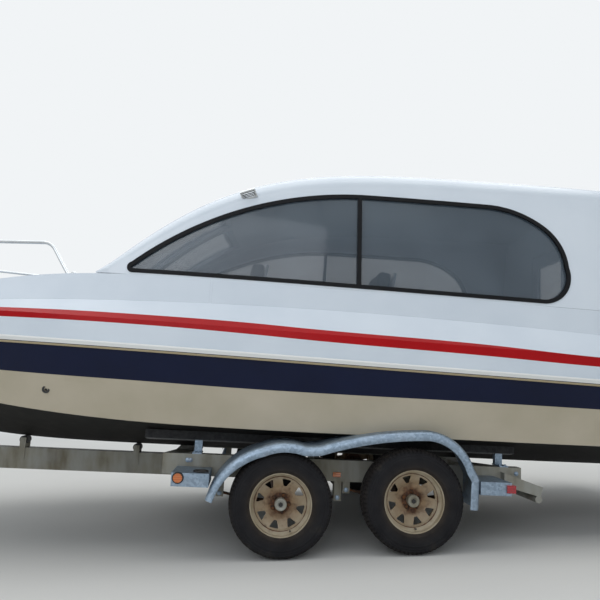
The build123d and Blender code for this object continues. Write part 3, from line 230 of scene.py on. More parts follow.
# Hull: black bottom paint, cream and navy gelcoat bands, and white inside
banded_gelcoat, tree, shader, where, colour = gelcoat("banded_gelcoat", 0.22, 0.2, 0.0)
x, y, z = level_of(tree, where)
outside, normal = outward(tree, y)
below = add(tree, "Math", (normal[2], -0.25), operation="LESS_THAN")
abaft = add(tree, "Math", (x, TRANSOM_X), operation="LESS_THAN")
astern = add(tree, "Math", (normal[0], -0.5), operation="LESS_THAN")
stern = add(tree, "Math", (abaft, astern), operation="MULTIPLY")
shown = add(tree, "Math", (outside, below), operation="MAXIMUM")
shown = add(tree, "Math", (shown, stern), operation="MAXIMUM")
bottom = blotches(tree, where, 90, [(0.25, "12110F"), (0.6, "1D1B19"), (0.8, "2C2824")], 8.0)
cream = blotches(tree, where, 350, [(0.3, "B7AE99"), (0.7, "C4BAA7")])
navy = blotches(tree, where, 500, [(0.3, "08122E"), (0.7, "0D1838")])
topside = over(tree, x, z, CHINE)
above = over(tree, x, z, NAVY_FOOT)
bands = add(tree, "Mix", {0: above, 6: cream, 7: navy}, data_type="RGBA")
bands = add(tree, "Mix", {0: topside, 6: bottom, 7: bands}, data_type="RGBA")
under = add(tree, "Math", (1.0, topside), operation="SUBTRACT")
painted = add(tree, "Math", (shown, under), operation="MULTIPLY")
dress(tree, shader, add(tree, "Mix", {0: shown, 6: colour, 7: bands}, data_type="RGBA"),
      add(tree, "Math", (painted, 0.5, 0.22), operation="MULTIPLY_ADD"))

# Rub rail: extruded PVC, white with a dark groove line and a tan lower lip
rub_rail_pvc, tree, shader, where = start("rub_rail_pvc", "DADBD6", 0.4)
x, y, z = level_of(tree, where)
sheer = add(tree, "Math", (x, SHEER_RISE, SHEER_Z), operation="MULTIPLY_ADD")
drop = add(tree, "Math", (z, sheer), operation="SUBTRACT")
share = add(tree, "Math", (drop, 1 / 60, 0.5), operation="MULTIPLY_ADD")
bands = add(tree, "ValToRGB", (share,), [
    (0.0, "B5A584"), (0.29, "BDAD8B"), (0.3, "26262A"), (0.37, "2B2B30"), (0.375, "DCDDDA"),
    (1.0, "E6E8E8"),
])
bands.color_ramp.interpolation = "CONSTANT"
dress(tree, shader, bands)

# Tinted window film on glass: a smoky pane that still mirrors the sky
tinted_glass = plain("tinted_glass", "55636F", 0.05, (500, [(0.3, "4C5965"), (0.75, "65737F")]),
                     specular_ior_level=0.6, alpha=0.48)
tinted_glass.surface_render_method = "BLENDED"

# Extruded black rubber, matt, with a grain of 6 mm
window_rubber = plain("window_rubber", "0B0C0F", 0.5, (120, [(0.3, "090A0D"), (0.8, "111216")]),
                      ("TexNoise", 6, 3.0, 0.3), specular_ior_level=0.15)

# Moulded black plastic with a leather grain of 3 mm
moulded_plastic = plain("moulded_plastic", "1B1C1E", 0.5, (60, [(0.3, "18191B"), (0.8, "242527")]),
                        ("TexVoronoi", 3, 0.0, 0.2))

# Stainless steel tube, ground and polished, with faint lines along it
stainless_steel, tree, shader, where = start("stainless_steel", "C9CCCE", 0.2, 1.0)
drawn = add(tree, "Mapping", {"Vector": where, "Scale": (6, 60, 60)})
lines = add(tree, "TexNoise", {"Vector": drawn, "Scale": 12.0})
dress(tree, shader, blotches(tree, where, 40, [(0.3, "BFC3C6"), (0.8, "D2D5D6")]),
      add(tree, "Math", (lines, 0.18, 0.12), operation="MULTIPLY_ADD"))

# Hot dip galvanised steel: zinc spangle of 14 mm, dulled white by weather, a few rust runs
galvanised_steel, tree, shader, where = start("galvanised_steel", "9AA1A6", 0.48, 0.75)
spangle = add(tree, "TexVoronoi", {"Vector": where, "Scale": 1000 / 14}, feature="F1")
flakes = add(tree, "ValToRGB", (add(tree, "SeparateColor", (spangle.outputs["Color"],)),),
             [(0.0, "7A8A9A"), (1.0, "96A8BA")])
chalk = blotches(tree, where, 130, [(0.42, "000000"), (0.7, "8A8A8A")], 8.0)
dulled = add(tree, "Mix", {0: chalk, 6: flakes, 7: "A7B2BD"}, data_type="RGBA")
stain = blotches(tree, where, 210, [(0.6, "000000"), (0.74, "C0C0C0")], 10.0)
dress(tree, shader, add(tree, "Mix", {0: stain, 6: dulled, 7: "7E6A55"}, data_type="RGBA"),
      add(tree, "Math", (chalk, 0.25, 0.4), operation="MULTIPLY_ADD"), (chalk, 0.15))

# Galvanising of the old beams: dull zinc stained brown by years of rain, in streaks down the sides
weathered_zinc, tree, shader, where = start("weathered_zinc", "8A8980", 0.62, 0.35)
drawn = add(tree, "Mapping", {"Vector": where, "Scale": (1, 1, 0.25)})
run = add(tree, "TexNoise", {"Vector": drawn, "Scale": 1000 / 75, "Detail": 8.0})
streak = add(tree, "ValToRGB", (run,), [(0.35, "94938A"), (0.55, "868274"), (0.72, "706856")])
patch = blotches(tree, where, 260, [(0.42, "000000"), (0.62, "B0B0B0")], 8.0)
dress(tree, shader, add(tree, "Mix", {0: patch, 6: streak, 7: "9B9D9A"}, data_type="RGBA"),
      add(tree, "Math", (run, 0.3, 0.45), operation="MULTIPLY_ADD"), (run, 0.3))

# Bare steel of the running gear, rusted and dirty
rust = [(0.3, "2B2220"), (0.5, "4E3828"), (0.68, "7A4C2A"), (0.85, "93623A")]
rusted_steel = plain("rusted_steel", "4A382C", 0.85, (30, rust, 10.0), ("TexNoise", 9, 8.0, 1.0), 0.2)


def wheel_radius(tree, where):
    """The distance from the axle of the nearest wheel, in metres."""
    parts = add(tree, "SeparateXYZ", (where,))
    along = add(tree, "Math", (parts.outputs[0], WHEELS_MID_X), operation="SUBTRACT")
    along = add(tree, "Math", (along,), operation="ABSOLUTE")
    along = add(tree, "Math", (along, AXLE_SPACING / 2000), operation="SUBTRACT")
    up = add(tree, "Math", (parts.outputs[2], TYRE_R / 1000), operation="SUBTRACT")
    along = add(tree, "Math", (along, along), operation="MULTIPLY")
    up = add(tree, "Math", (up, up), operation="MULTIPLY")
    return add(tree, "Math", (add(tree, "Math", (along, up), operation="ADD"),), operation="SQRT")


# Rims: cream enamel on pressed steel. Rust spreads from the hub and breaks through elsewhere in
# patches; the dark ring in the seam between disc and barrel is rust with painted shade of the recess.
# The ramps run over 200 mm of radius
cream_enamel, tree, shader, where = start("cream_enamel", "A39274", 0.5)
radius = add(tree, "Math", (wheel_radius(tree, where), 5.0), operation="MULTIPLY")
enamel = blotches(tree, where, 70, [(0.3, "94856B"), (0.7, "AFA48E")])
tinted = add(tree, "ValToRGB", (radius,), [
    (0.3, "F0F0F0"), (0.55, "C0C0C0"), (0.8, "8A8A8A"), (0.84, "303030"),
])
warm = blotches(tree, where, 55, [(0.3, "70502F"), (0.7, "907049")], 6.0)
stained = add(tree, "Mix", {0: tinted, 6: enamel, 7: warm}, data_type="RGBA")
cloud = add(tree, "TexNoise", {"Vector": where, "Scale": 1000 / 38, "Detail": 12.0})
# Rust spreading from the hub, plus a thin ring at 163 mm in the seam between disc and barrel: rust
# with painted shade of the recess
rust_spread_and_seam_shade = add(tree, "ValToRGB", (radius,), [
    (0.0, "FFFFFF"), (0.24, "E0E0E0"), (0.34, "A8A8A8"), (0.5, "848484"), (0.72, "646464"),
    (0.795, "707070"), (0.815, "E0E0E0"), (0.835, "686868"), (0.93, "505050"),
])
rust = add(tree, "Math", (cloud, rust_spread_and_seam_shade), operation="ADD")
rust = add(tree, "Math", (rust, 0.72), operation="SUBTRACT")
rust = add(tree, "Math", (rust, 3.0), operation="MULTIPLY", use_clamp=True)
brown = blotches(tree, where, 14, [(0.3, "35221A"), (0.6, "5D3D28"), (0.75, "7F5633")], 8.0)
dress(tree, shader, add(tree, "Mix", {0: rust, 6: stained, 7: brown}, data_type="RGBA"),
      add(tree, "Math", (rust, 0.4, 0.42), operation="MULTIPLY_ADD"), (rust, 0.4))

# Tyre: carbon black rubber. Road dust lies in the tread and, browned by the rim's rust, near the
# bead. The ramp runs over 333 mm of radius
tyre_rubber, tree, shader, where = start("tyre_rubber", "1A1A1E", 0.8, specular_ior_level=0.25)
dust = blotches(tree, where, 120, [(0.35, "131317"), (0.62, "1D1D20"), (0.85, "38352F")], 8.0)
radius = add(tree, "Math", (wheel_radius(tree, where), 3.0), operation="MULTIPLY")
band = add(tree, "ValToRGB", (radius,), [
    (0.58, "909090"), (0.66, "505050"), (0.74, "202020"), (0.88, "181818"), (0.94, "606060"),
    (1.0, "707070"),
])
cloud = add(tree, "TexNoise", {"Vector": where, "Scale": 1000 / 60, "Detail": 8.0})
share = add(tree, "Math", (band, cloud), operation="MULTIPLY")
share = add(tree, "Math", (share, 1.5), operation="MULTIPLY", use_clamp=True)
grit = add(tree, "TexNoise", {"Vector": where, "Scale": 1000 / 3, "Detail": 4.0})
dress(tree, shader, add(tree, "Mix", {0: share, 6: dust, 7: "5C4E3D"}, data_type="RGBA"),
      raised=(grit, 0.4))

# Moulded roller rubber
roller_rubber = plain("roller_rubber", "1C1C1D", 0.7, (20, [(0.3, "171718"), (0.8, "2F2E2D")], 6.0))

# Bunk carpet: looped polypropylene, loops of 5 mm
bunk_carpet = plain("bunk_carpet", "2B2C2E", 0.95, (25, [(0.3, "222325"), (0.7, "3A3A3B")], 6.0),
                    ("TexVoronoi", 5, 0.0, 2.5), sheen_weight=0.3)

# Outboard enamel: dark grey paint baked on a moulded cowl
outboard_enamel = plain("outboard_enamel", "23272B", 0.25, (200, [(0.3, "202428"), (0.8, "2B3035")]),
                        coat_weight=0.6, coat_roughness=0.1)

# Cast and machined aluminium
cast_aluminium = plain("cast_aluminium", "A5A8AA", 0.4, (50, [(0.3, "9A9D9F"), (0.8, "B4B6B8")]),
                       ("TexNoise", 2, 4.0, 0.15), 0.9)


def lens(name, low, high):
    """Moulded acrylic lamp lens, ribbed inside every 5 mm."""
    mat, tree, shader, where = start(name, low, 0.15, coat_weight=0.5)
    ribs = add(tree, "TexWave", {"Vector": where, "Scale": 1000 / 5 / 6.28}, bands_direction="Z")
    ribs = ribs.outputs["Fac"]
    dress(tree, shader, add(tree, "Mix", {0: ribs, 6: low, 7: high}, data_type="RGBA"),
          raised=(ribs, 0.8))
    return mat


amber_lens = lens("amber_acrylic", "B4571F", "D8792F")
red_lens = lens("red_acrylic", "8C1420", "B5202B")

# Seat vinyl: near black, with a leather grain of 7 mm, coarser than the real one so that it shows
seat_vinyl, tree, shader, where = start("seat_vinyl", "1A1B1D", 0.5)
cells = add(tree, "TexVoronoi", {"Vector": where, "Scale": 1000 / 7}, feature="DISTANCE_TO_EDGE")
creases = add(tree, "Math", (cells, 0.2), operation="MINIMUM")
colour = blotches(tree, where, 150, [(0.3, "161719"), (0.8, "222326")])
dress(tree, shader, colour, raised=(creases, 0.3))

# Smoked acrylic of the hatch's pane
smoked_acrylic = plain("smoked_acrylic", "0E1012", 0.06, (200, [(0.3, "0D0F11"), (0.7, "15181A")]),
                       coat_weight=0.3)

NODE_MATERIALS = {
    white_gelcoat: (
        "foredeck roof cabin_side_port cabin_side_starboard windscreen_frame screen_sill bulkhead"
        " cabin_door hatch_curb dash seat_frames"
    ),
    striped_gelcoat: "deck",
    banded_gelcoat: "hull",
    rub_rail_pvc: "rub_rails",
    tinted_glass: "side_glass windscreen_glass door_glass",
    window_rubber: "window_frames",
    moulded_plastic: "steering_wheel steering_column hatch_lid outlets",
    stainless_steel: "bow_rail cleats bow_eye vents",
    galvanised_steel: "bunk_posts winch_post coupler jack_tube jack_leg fenders steps winch",
    weathered_zinc: "spine side_rails cross_members tail_frame spring_hangers",
    rusted_steel: "axles springs",
    cream_enamel: "rim_fore_port rim_fore_starboard rim_aft_port rim_aft_starboard",
    tyre_rubber: "tyre_fore_port tyre_fore_starboard tyre_aft_port tyre_aft_starboard",
    roller_rubber: "keel_rollers",
    bunk_carpet: "bunks",
    outboard_enamel: "motor_cowl motor_leg",
    cast_aluminium: "motor_clamp motor_swivel propeller",
    amber_lens: "side_lamps",
    red_lens: "tail_lamps",
    seat_vinyl: "seat_bases seat_backs",
}
for mat, names in NODE_MATERIALS.items():
    for name in names.split():
        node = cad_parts[name]
        node.data.materials.clear()
        node.data.materials.append(mat)


# ---- Modelling ----

def mm(*values):
    """Millimetres as metres."""
    return tuple(value / 1000 for value in values)


def shifted(x, y, z):
    """A move, in mm."""
    return Matrix.Translation(mm(x, y, z))


def swung(degrees, axis):
    """A turn about X, Y or Z, in degrees."""
    return Matrix.Rotation(math.radians(degrees), 4, axis)


def focus(*pieces):
    """Selects these pieces alone; the first is the active one."""
    bpy.ops.object.select_all(action="DESELECT")
    for piece in pieces:
        piece.select_set(True)
    bpy.context.view_layer.objects.active = pieces[0]


def begin(shape, name, **size):
    """Adds a mesh primitive by itself and opens it in edit mode."""
    bpy.ops.object.select_all(action="DESELECT")
    getattr(bpy.ops.mesh, "primitive_" + shape + "_add")(**size)
    piece = bpy.context.object
    piece.name = name
    bpy.ops.object.mode_set(mode="EDIT")
    return piece


def pick(piece, kind, test):
    """Selects the faces, edges or vertices whose middle and normal pass the test."""
    bpy.ops.mesh.select_mode(type=kind)
    bpy.ops.mesh.select_all(action="DESELECT")
    mesh = bmesh.from_edit_mesh(piece.data)
    for item in {"VERT": mesh.verts, "EDGE": mesh.edges, "FACE": mesh.faces}[kind]:
        if kind == "VERT":
            at, normal = item.co, item.normal
        elif kind == "EDGE":
            at, normal = (item.verts[0].co + item.verts[1].co) / 2, item.verts[0].normal
        else:
            at, normal = item.calc_center_median(), item.normal
        item.select_set(bool(test(at * 1000, normal)))
    bmesh.update_edit_mesh(piece.data)


def settle(piece):
    """Leaves edit mode, applies the modifiers and puts the piece's place in its mesh."""
    if piece.mode == "EDIT":
        bpy.ops.object.mode_set(mode="OBJECT")
    for modifier in list(piece.modifiers):
        bpy.ops.object.modifier_apply(modifier=modifier.name)
    bpy.ops.object.transform_apply(location=True, rotation=True, scale=True)


def finish_piece(piece, body, mat, replaces=(), smooth=35, lean=True):
    """Gives a piece its body, material and slot; lean turns the level frame to the row's."""
    focus(piece)
    settle(piece)
    if lean:
        piece.data.transform(LEAN)
    if smooth:
        bpy.ops.object.shade_smooth_by_angle(angle=math.radians(smooth))
    piece.data.materials.clear()
    piece.data.materials.append(mat)
    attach(piece, body)
    if replaces:
        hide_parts(*replaces)


def bevel(piece, width, segments=2, angle=35):
    """A rounded edge, as wide as the tool or the mould leaves it."""
    modifier = piece.modifiers.new("edge", "BEVEL")
    modifier.width = width / 1000
    modifier.segments = segments
    modifier.angle_limit = math.radians(angle)


def copied(piece, name, matrix):
    """A copy with its own mesh, moved by the matrix."""
    twin = piece.copy()
    twin.data = piece.data.copy()
    twin.name = name
    bpy.context.collection.objects.link(twin)
    twin.data.transform(matrix)
    if matrix.determinant() < 0:
        twin.data.flip_normals()
    return twin


def joined(pieces, name):
    """Several finished meshes as one piece."""
    focus(*pieces)
    if len(pieces) > 1:
        bpy.ops.object.join()
    pieces[0].name = name
    return pieces[0]


def block(name, size, at=(0, 0, 0)):
    """A box of a size and place in mm, in edit mode."""
    piece = begin("cube", name, size=1, location=mm(*at))
    bpy.ops.transform.resize(value=mm(*size))
    return piece


def spun(name, profile, steps):
    """A ring turned about Y from (Y, radius) points in mm, in edit mode."""
    piece = begin("circle", name, vertices=len(profile), radius=0.1)
    mesh = bmesh.from_edit_mesh(piece.data)
    mesh.verts.ensure_lookup_table()
    for vert, (y, radius) in zip(mesh.verts, profile):
        vert.co = mm(0, y, radius)
    bmesh.update_edit_mesh(piece.data)
    bpy.ops.mesh.select_all(action="SELECT")
    bpy.ops.mesh.spin(steps=steps, angle=2 * math.pi, center=(0, 0, 0), axis=(0, 1, 0))
    bpy.ops.mesh.select_all(action="SELECT")
    bpy.ops.mesh.remove_doubles(threshold=0.00002)
    bpy.ops.mesh.normals_make_consistent(inside=False)
    return piece


def turned(name, profile, steps):
    """A finished turned part about Y, from (Y, radius) points in mm."""
    piece = spun(name, profile, steps)
    settle(piece)
    return piece


def hexagon(name, radius, depth, middle_y, rim, raised):
    """A six sided head about Y with its flats inset, in mm, in edit mode."""
    head = begin("cylinder", name, vertices=6, radius=radius / 1000, depth=depth / 1000,
                 location=mm(0, middle_y, 0), rotation=(math.pi / 2, 0, 0))
    pick(head, "FACE", lambda at, normal: abs(normal.z) > 0.9)
    bpy.ops.mesh.inset(thickness=rim / 1000, depth=raised / 1000)
    return head


OUT, UP = Vector((0, 1, 0)), Vector((0, 0, 1))
MIRROR = Matrix.Scale(-1, 4, OUT)


# ---- Wheels ----

PITCHES, PER_PITCH = 72, 3
GROOVES, TREAD_DEEP, SIPE_DEEP = (-57, -26, 26, 57), 7, 5
CROWN_Y, CROWN_R = 66, 315.4

side = [  # (Y, radius) from the bead out over the sidewall's ribs to the shoulder
    (75, 189), (86, 191), (92, 198), (96, 206), (98.4, 208), (98.6, 213), (98.0, 215), (100.2, 230),
    (101.4, 246), (101.2, 258), (102.5, 260), (102.3, 263), (100.8, 265), (99.4, 276), (100.4, 278),
    (100.0, 281), (98.2, 283), (96.5, 289), (97.2, 291), (96.6, 293.5), (94.5, 295), (92, 300),
    (89, 305), (84, 309.5), (76, 313),
]
crown = [(CROWN_Y, CROWN_R)]
for middle in GROOVES[::-1]:
    top = TYRE_R - 4 * (middle / CROWN_Y) ** 2
    deep = top - TREAD_DEEP - 1
    crown += [(middle + 4, top), (middle + 3, deep), (middle - 3, deep), (middle - 4, top)]
crown += [(-CROWN_Y, CROWN_R)]
tyre = spun("tyre", side + crown + [(-y, radius) for y, radius in side[::-1]], PITCHES * PER_PITCH)


def tread_slot(at, normal):
    """The faces between two blocks: across the shoulders, and half a pitch on in the ribs."""
    turn = math.atan2(at.z, at.x) / (2 * math.pi) * PITCHES * PER_PITCH
    step = math.floor(turn + (0.5 if abs(at.y) > 60 else 2.0) + at.y * 0.02) % PER_PITCH
    radius = math.hypot(at.x, at.z)
    shoulder = 61 < abs(at.y) < 95 and radius > 291
    rib = (30 < abs(at.y) < 53 or abs(at.y) < 22) and radius > 314
    return step == 0 and (shoulder or rib)


pick(tyre, "FACE", tread_slot)
bpy.ops.mesh.inset(thickness=0.0004, depth=-SIPE_DEEP / 1000, use_even_offset=False)
settle(tyre)

nut = hexagon("nut", 11.5, 16, 0, 3, 3)
bevel(nut, 0.8, 2)
settle(nut)
washer = turned("washer", [(-9, 15), (-9, 6), (-4, 6), (-4, 13), (-5, 15)], 24)
stud = turned("stud", [(6, 0.4), (6, 6), (16, 6), (18, 4.5), (18, 0.4)], 16)
cap = turned("cap", [
    (11, 36), (40, 36), (54, 36.5), (58, 38), (66, 37), (69, 34), (69, 21), (67, 18), (62.5, 17),
    (62.5, 0.3), (11, 0.3),
], 48)
spindle = hexagon("spindle", 14.5, 3, 64, 5, -1)
settle(spindle)
valve = turned("valve", [
    (-10, 0.3), (-10, 7), (0, 6), (3, 3.6), (22, 3.4), (23, 4.6), (32, 4.4), (33, 0.3),
], 20)

# The lugs' number, ring and distance from the wheel's middle plane, and the valve's ring and
# distance, in mm. Each wheel stopped at its own turn, in degrees
LUGS, LUG_RING_R, LUG_Y, VALVE_RING_R, VALVE_Y = 5, 52, 17, 172, 34
WHEEL_TURNS = {"fore": 9.5, "aft": -7}
for end, turn in WHEEL_TURNS.items():
    low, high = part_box(f"rim_{end}_port")
    middle = [(a + b) / 2 for a, b in zip(low, high)]
    for hand, sign in (("port", 1), ("starboard", -1)):
        body, wheel = f"wheel_{end}_{hand}", f"{end}_{hand}"
        flip = swung(0 if sign == 1 else 180, "Z")
        at = Matrix.Translation((middle[0], sign * WHEEL_Y / 1000, middle[2])) @ flip
        tread = copied(tyre, f"tread_{wheel}", at @ swung(turn, "Y"))
        finish_piece(tread, body, tyre_rubber, [f"tyre_{wheel}"], 30, lean=False)
        lugs = []
        for k in range(LUGS):
            out = swung(turn * 3 + 360 * k / LUGS, "Y")
            lug_at = at @ out @ shifted(LUG_RING_R, LUG_Y, 0)
            lugs += [copied(part, "lug", lug_at) for part in (nut, washer, stud)]
        lugs = joined(lugs, f"lug_nuts_{wheel}")
        finish_piece(lugs, body, rusted_steel, smooth=30, lean=False)
        pin = copied(spindle, f"spindle_nut_{wheel}", at)
        finish_piece(pin, body, roller_rubber, smooth=30, lean=False)
        grease = copied(cap, f"hub_ring_{wheel}", at)
        finish_piece(grease, body, weathered_zinc, lean=False)
        out = swung(turn + 100, "Y")
        stem_at = at @ out @ shifted(VALVE_RING_R, VALVE_Y, 0)
        stem = copied(valve, f"valve_{wheel}", stem_at @ Matrix.Rotation(0.2, 4, "Z"))
        finish_piece(stem, body, roller_rubber, lean=False)
for master in (tyre, nut, washer, stud, cap, valve, spindle):
    bpy.data.objects.remove(master)


# ---- Mudguards ----

def arc(a, b, c, steps):
    """Points on the arc from a to c by way of b, without its last."""
    (ax, az), (bx, bz), (cx, cz) = a, b, c
    d = 2 * (ax * (bz - cz) + bx * (cz - az) + cx * (az - bz))
    aa, bb, cc = ax * ax + az * az, bx * bx + bz * bz, cx * cx + cz * cz
    ux = (aa * (bz - cz) + bb * (cz - az) + cc * (az - bz)) / d
    uz = (aa * (cx - bx) + bb * (ax - cx) + cc * (bx - ax)) / d
    radius = math.hypot(ax - ux, az - uz)
    turns = [math.atan2(z - uz, x - ux) for x, z in (a, b, c)]
    for k in (1, 2):
        while turns[k] - turns[k - 1] > math.pi:
            turns[k] -= 2 * math.pi
        while turns[k] - turns[k - 1] < -math.pi:
            turns[k] += 2 * math.pi
    return [(ux + radius * math.cos(t), uz + radius * math.sin(t))
            for t in (turns[0] + (turns[2] - turns[0]) * k / steps for k in range(steps))]


# The path of the mudguard's skin over the wheels, from its front tip to its tail
GUARD_PATH = (
    arc((890, 312), (792, 500), (568, 638), 22) + arc((568, 638), (430, 671), (300, 655), 12)
    + arc((300, 655), (257, 656), (215, 660), 4) + arc((215, 660), (-140, 748), (-473, 779), 26)
    + arc((-473, 779), (-640, 722), (-765, 557), 16) + [(-768, 551), (-784, 526), (-799, 494)]
    + [(-799.5 + 0.9 * k, 486 - 21.5 * k) for k in range(9)]
)
GUARD_IN_Y, GUARD_OUT_Y, GUARD_ROLL, GUARD_LIP, GUARD_T, HULL_GAP = 900.5, 1211, 36, 57, 4, 14
hull_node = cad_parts["hull"]


def guard_section(x, z, share):
    """(Y, depth) points across the guard, from the hull out, over the roll and down its lip."""
    hit, at, normal, face = hull_node.ray_cast(place(x, 1300, z), -OUT, distance=0.5)
    inner = max(GUARD_IN_Y, at.y * 1000 + HULL_GAP if hit else 0)
    lip = GUARD_LIP - 16 * max(0.0, 1 - share * 6)
    flat_end = GUARD_OUT_Y - GUARD_ROLL
    inner = min(inner, flat_end - 12)
    rows = [(inner + (flat_end - inner) * k / 4, 0) for k in range(5)]
    for k in range(1, 9):
        turn = math.pi / 2 * k / 8
        rows.append((flat_end + GUARD_ROLL * math.sin(turn), GUARD_ROLL * (1 - math.cos(turn))))
    rows += [(GUARD_OUT_Y, lip - 3), (GUARD_OUT_Y - 1.5, lip), (GUARD_OUT_Y - 6, lip + 1)]
    return rows


ACROSS = 16
guard = begin("grid", "guard", x_subdivisions=ACROSS - 1, y_subdivisions=len(GUARD_PATH) - 1, size=1)
mesh = bmesh.from_edit_mesh(guard.data)
mesh.verts.ensure_lookup_table()
for k, (x, z) in enumerate(GUARD_PATH):
    (x0, z0), (x1, z1) = GUARD_PATH[max(0, k - 2)], GUARD_PATH[min(len(GUARD_PATH) - 1, k + 2)]
    run = math.hypot(x1 - x0, z1 - z0)
    inward = ((z1 - z0) / run, -(x1 - x0) / run)  # towards the wheels
    if inward[1] > 0 and x > -700 or inward[0] < 0 and x < -700:
        inward = (-inward[0], -inward[1])
    for j, (y, deep) in enumerate(guard_section(x, z, k / len(GUARD_PATH))):
        mesh.verts[k * ACROSS + j].co = mm(x + inward[0] * deep, y, z + inward[1] * deep)
bmesh.update_edit_mesh(guard.data)
bpy.ops.mesh.select_all(action="SELECT")
bpy.ops.mesh.normals_make_consistent(inside=False)
skin = guard.modifiers.new("plate", "SOLIDIFY")
skin.thickness = GUARD_T / 1000
skin.offset = 0
bevel(guard, 0.9, 1, 50)
settle(guard)
twin = copied(guard, "guard_twin", MIRROR)
finish_piece(joined([guard, twin], "mudguards"), "boat_and_trailer", galvanised_steel,
             ["fenders"], 40)


# ---- Seats ----

BACK_LEAN, SEAT_HINGE, BACK_MIDDLE = 9, (-220, 1200), (54, 0, 426)
COVER_SWELL, FOAM_VOXEL, CLOTH_STEPS = 9, 9, 20


def cushion(name, size, at, taper=0.0):
    """A stuffed vinyl pad: a block with drawn-in sides, swollen by its foam under cloth simulation."""
    pad = block(name, size, at)
    bpy.ops.mesh.subdivide(number_cuts=5)
    pick(pad, "VERT", lambda v, normal: v.z > at[2] + size[2] * 0.3)
    bpy.ops.transform.resize(value=(1 - taper, 1 - taper / 2, 1))
    bpy.ops.object.mode_set(mode="OBJECT")
    bevel(pad, 16, 3, 60)
    remesh = pad.modifiers.new("foam", "REMESH")
    remesh.mode = "VOXEL"
    remesh.voxel_size = FOAM_VOXEL / 1000
    settle(pad)
    before = [v.co.copy() for v in pad.data.vertices]
    cloth = pad.modifiers.new("cover", "CLOTH")
    cloth.settings.use_pressure = True
    cloth.settings.uniform_pressure_force = 4.0
    cloth.settings.effector_weights.gravity = 0
    cloth.point_cache.frame_start, cloth.point_cache.frame_end = 1, CLOTH_STEPS
    for step in range(1, CLOTH_STEPS + 1):
        bpy.context.scene.frame_set(step)
    bpy.context.view_layer.objects.active = pad
    bpy.ops.object.modifier_apply(modifier=cloth.name)
    bpy.context.scene.frame_set(1)
    limit = COVER_SWELL / 1000
    for v, was in zip(pad.data.vertices, before):
        move = v.co - was
        if move.length > limit:
            move *= limit / move.length
        v.co = was + move
    soften = pad.modifiers.new("smooth", "CORRECTIVE_SMOOTH")
    soften.iterations = 6
    soften.use_only_smooth = True
    finer = pad.modifiers.new("finer", "SUBSURF")
    finer.levels = finer.render_levels = 1
    settle(pad)
    return pad


CUSHION_DROP = 1220.5
covers = {
    "seat_bases": cushion("seat_cushion", (410, 420, 90), (0, 0, 54.6), 0.05),
    "seat_backs": cushion("seat_back", (84, 412, 536), (0, 0, 0)),
}
for end, x in zip(("fore", "aft"), SEAT_XS):
    for hand, y in zip(("port", "starboard"), SEAT_YS):
        at = shifted(x + 6, y, CUSHION_DROP)
        pad = copied(covers["seat_bases"], f"cushion_{end}_{hand}", at)
        finish_piece(pad, "boat_and_trailer", seat_vinyl, ["seat_bases"], 0)
        hinge_at = shifted(x + SEAT_HINGE[0], y, SEAT_HINGE[1])
        at = hinge_at @ swung(-BACK_LEAN, "Y") @ shifted(*BACK_MIDDLE)
        pad = copied(covers["seat_backs"], f"backrest_{end}_{hand}", at)
        finish_piece(pad, "boat_and_trailer", seat_vinyl, ["seat_backs"], 0)
for master in covers.values():
    bpy.data.objects.remove(master)


# ---- Small fittings ----

def landing(node, start_at, direction):
    """Where a ray in the level frame meets a CAD node: its place in mm and the surface's normal."""
    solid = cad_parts[node]
    ray = LEAN.to_3x3() @ Vector(direction)
    hit, at, normal, face = solid.ray_cast(place(*start_at), ray, distance=3)
    back_turn = LEAN.inverted()
    return (back_turn @ at) * 1000, (back_turn.to_3x3() @ normal).normalized(), hit


def facing(at, normal):
    """A matrix that stands a fitting made along +Y on a surface point, in mm."""
    return shifted(*at) @ normal.to_track_quat("Y", "Z").to_matrix().to_4x4()


def tube(name, points, radius, smooth=True, sides=4):
    """A bent rod through the points, closed at its ends."""
    bpy.ops.object.select_all(action="DESELECT")
    bpy.ops.curve.primitive_bezier_curve_add()
    rod = bpy.context.object
    spline = rod.data.splines[0]
    spline.bezier_points.add(len(points) - 2)
    for knot, at in zip(spline.bezier_points, points):
        knot.co = mm(*at)
        knot.handle_left_type = knot.handle_right_type = "AUTO" if smooth else "VECTOR"
    rod.data.bevel_depth = radius / 1000
    rod.data.bevel_resolution = sides
    rod.data.use_fill_caps = True
    rod.data.resolution_u = 8
    bpy.ops.object.convert(target="MESH")
    rod = bpy.context.object
    rod.name = name
    return rod


def hex_bolt(name, size):
    """A hexagon head with its washer, made along +Y from the surface; size is its thread in mm."""
    head = hexagon(name, size, size * 0.65, 2 + size * 0.325, size * 0.14, size * 0.07)
    settle(head)
    ring = turned("washer", [(0, size * 1.25), (2, size * 1.2), (2, 0.3), (0, 0.3)], 24)
    return joined([head, ring], name)


def fixed(master, places, name, mat, body="boat_and_trailer"):
    """One piece of many copies, each placed by a matrix."""
    finish_piece(joined([copied(master, name, at) for at in places], name), body, mat)


def on_both_sides(places):
    """Placings that face outwards at points of the port side and at their mirror images."""
    return [facing((x, side * y, z), side * OUT) for x, y, z in places for side in (1, -1)]


bolt = hex_bolt("bolt", 12)
small_bolt = hex_bolt("small_bolt", 8)

# Bolts of the trailer: rail ends, bunk brackets and the pins of the spring hangers
rail_bolts = [(x, 900, z) for x in (1018, 1036, -1165) for z in (448, 505)]
pins = [(x, 896, z) for x, z in ((817.8, 304.8), (47.8, 304.8), (-8.7, 355.4), (-778.7, 355.4))]
fixed(bolt, on_both_sides(rail_bolts + pins), "frame_bolts", galvanised_steel)
places = [facing((x + dx, y, 553), UP) for x in (-1080, 980) for dx in (-18, 18) for y in (872, -872)]
fixed(small_bolt, places, "bracket_bolts", galvanised_steel)

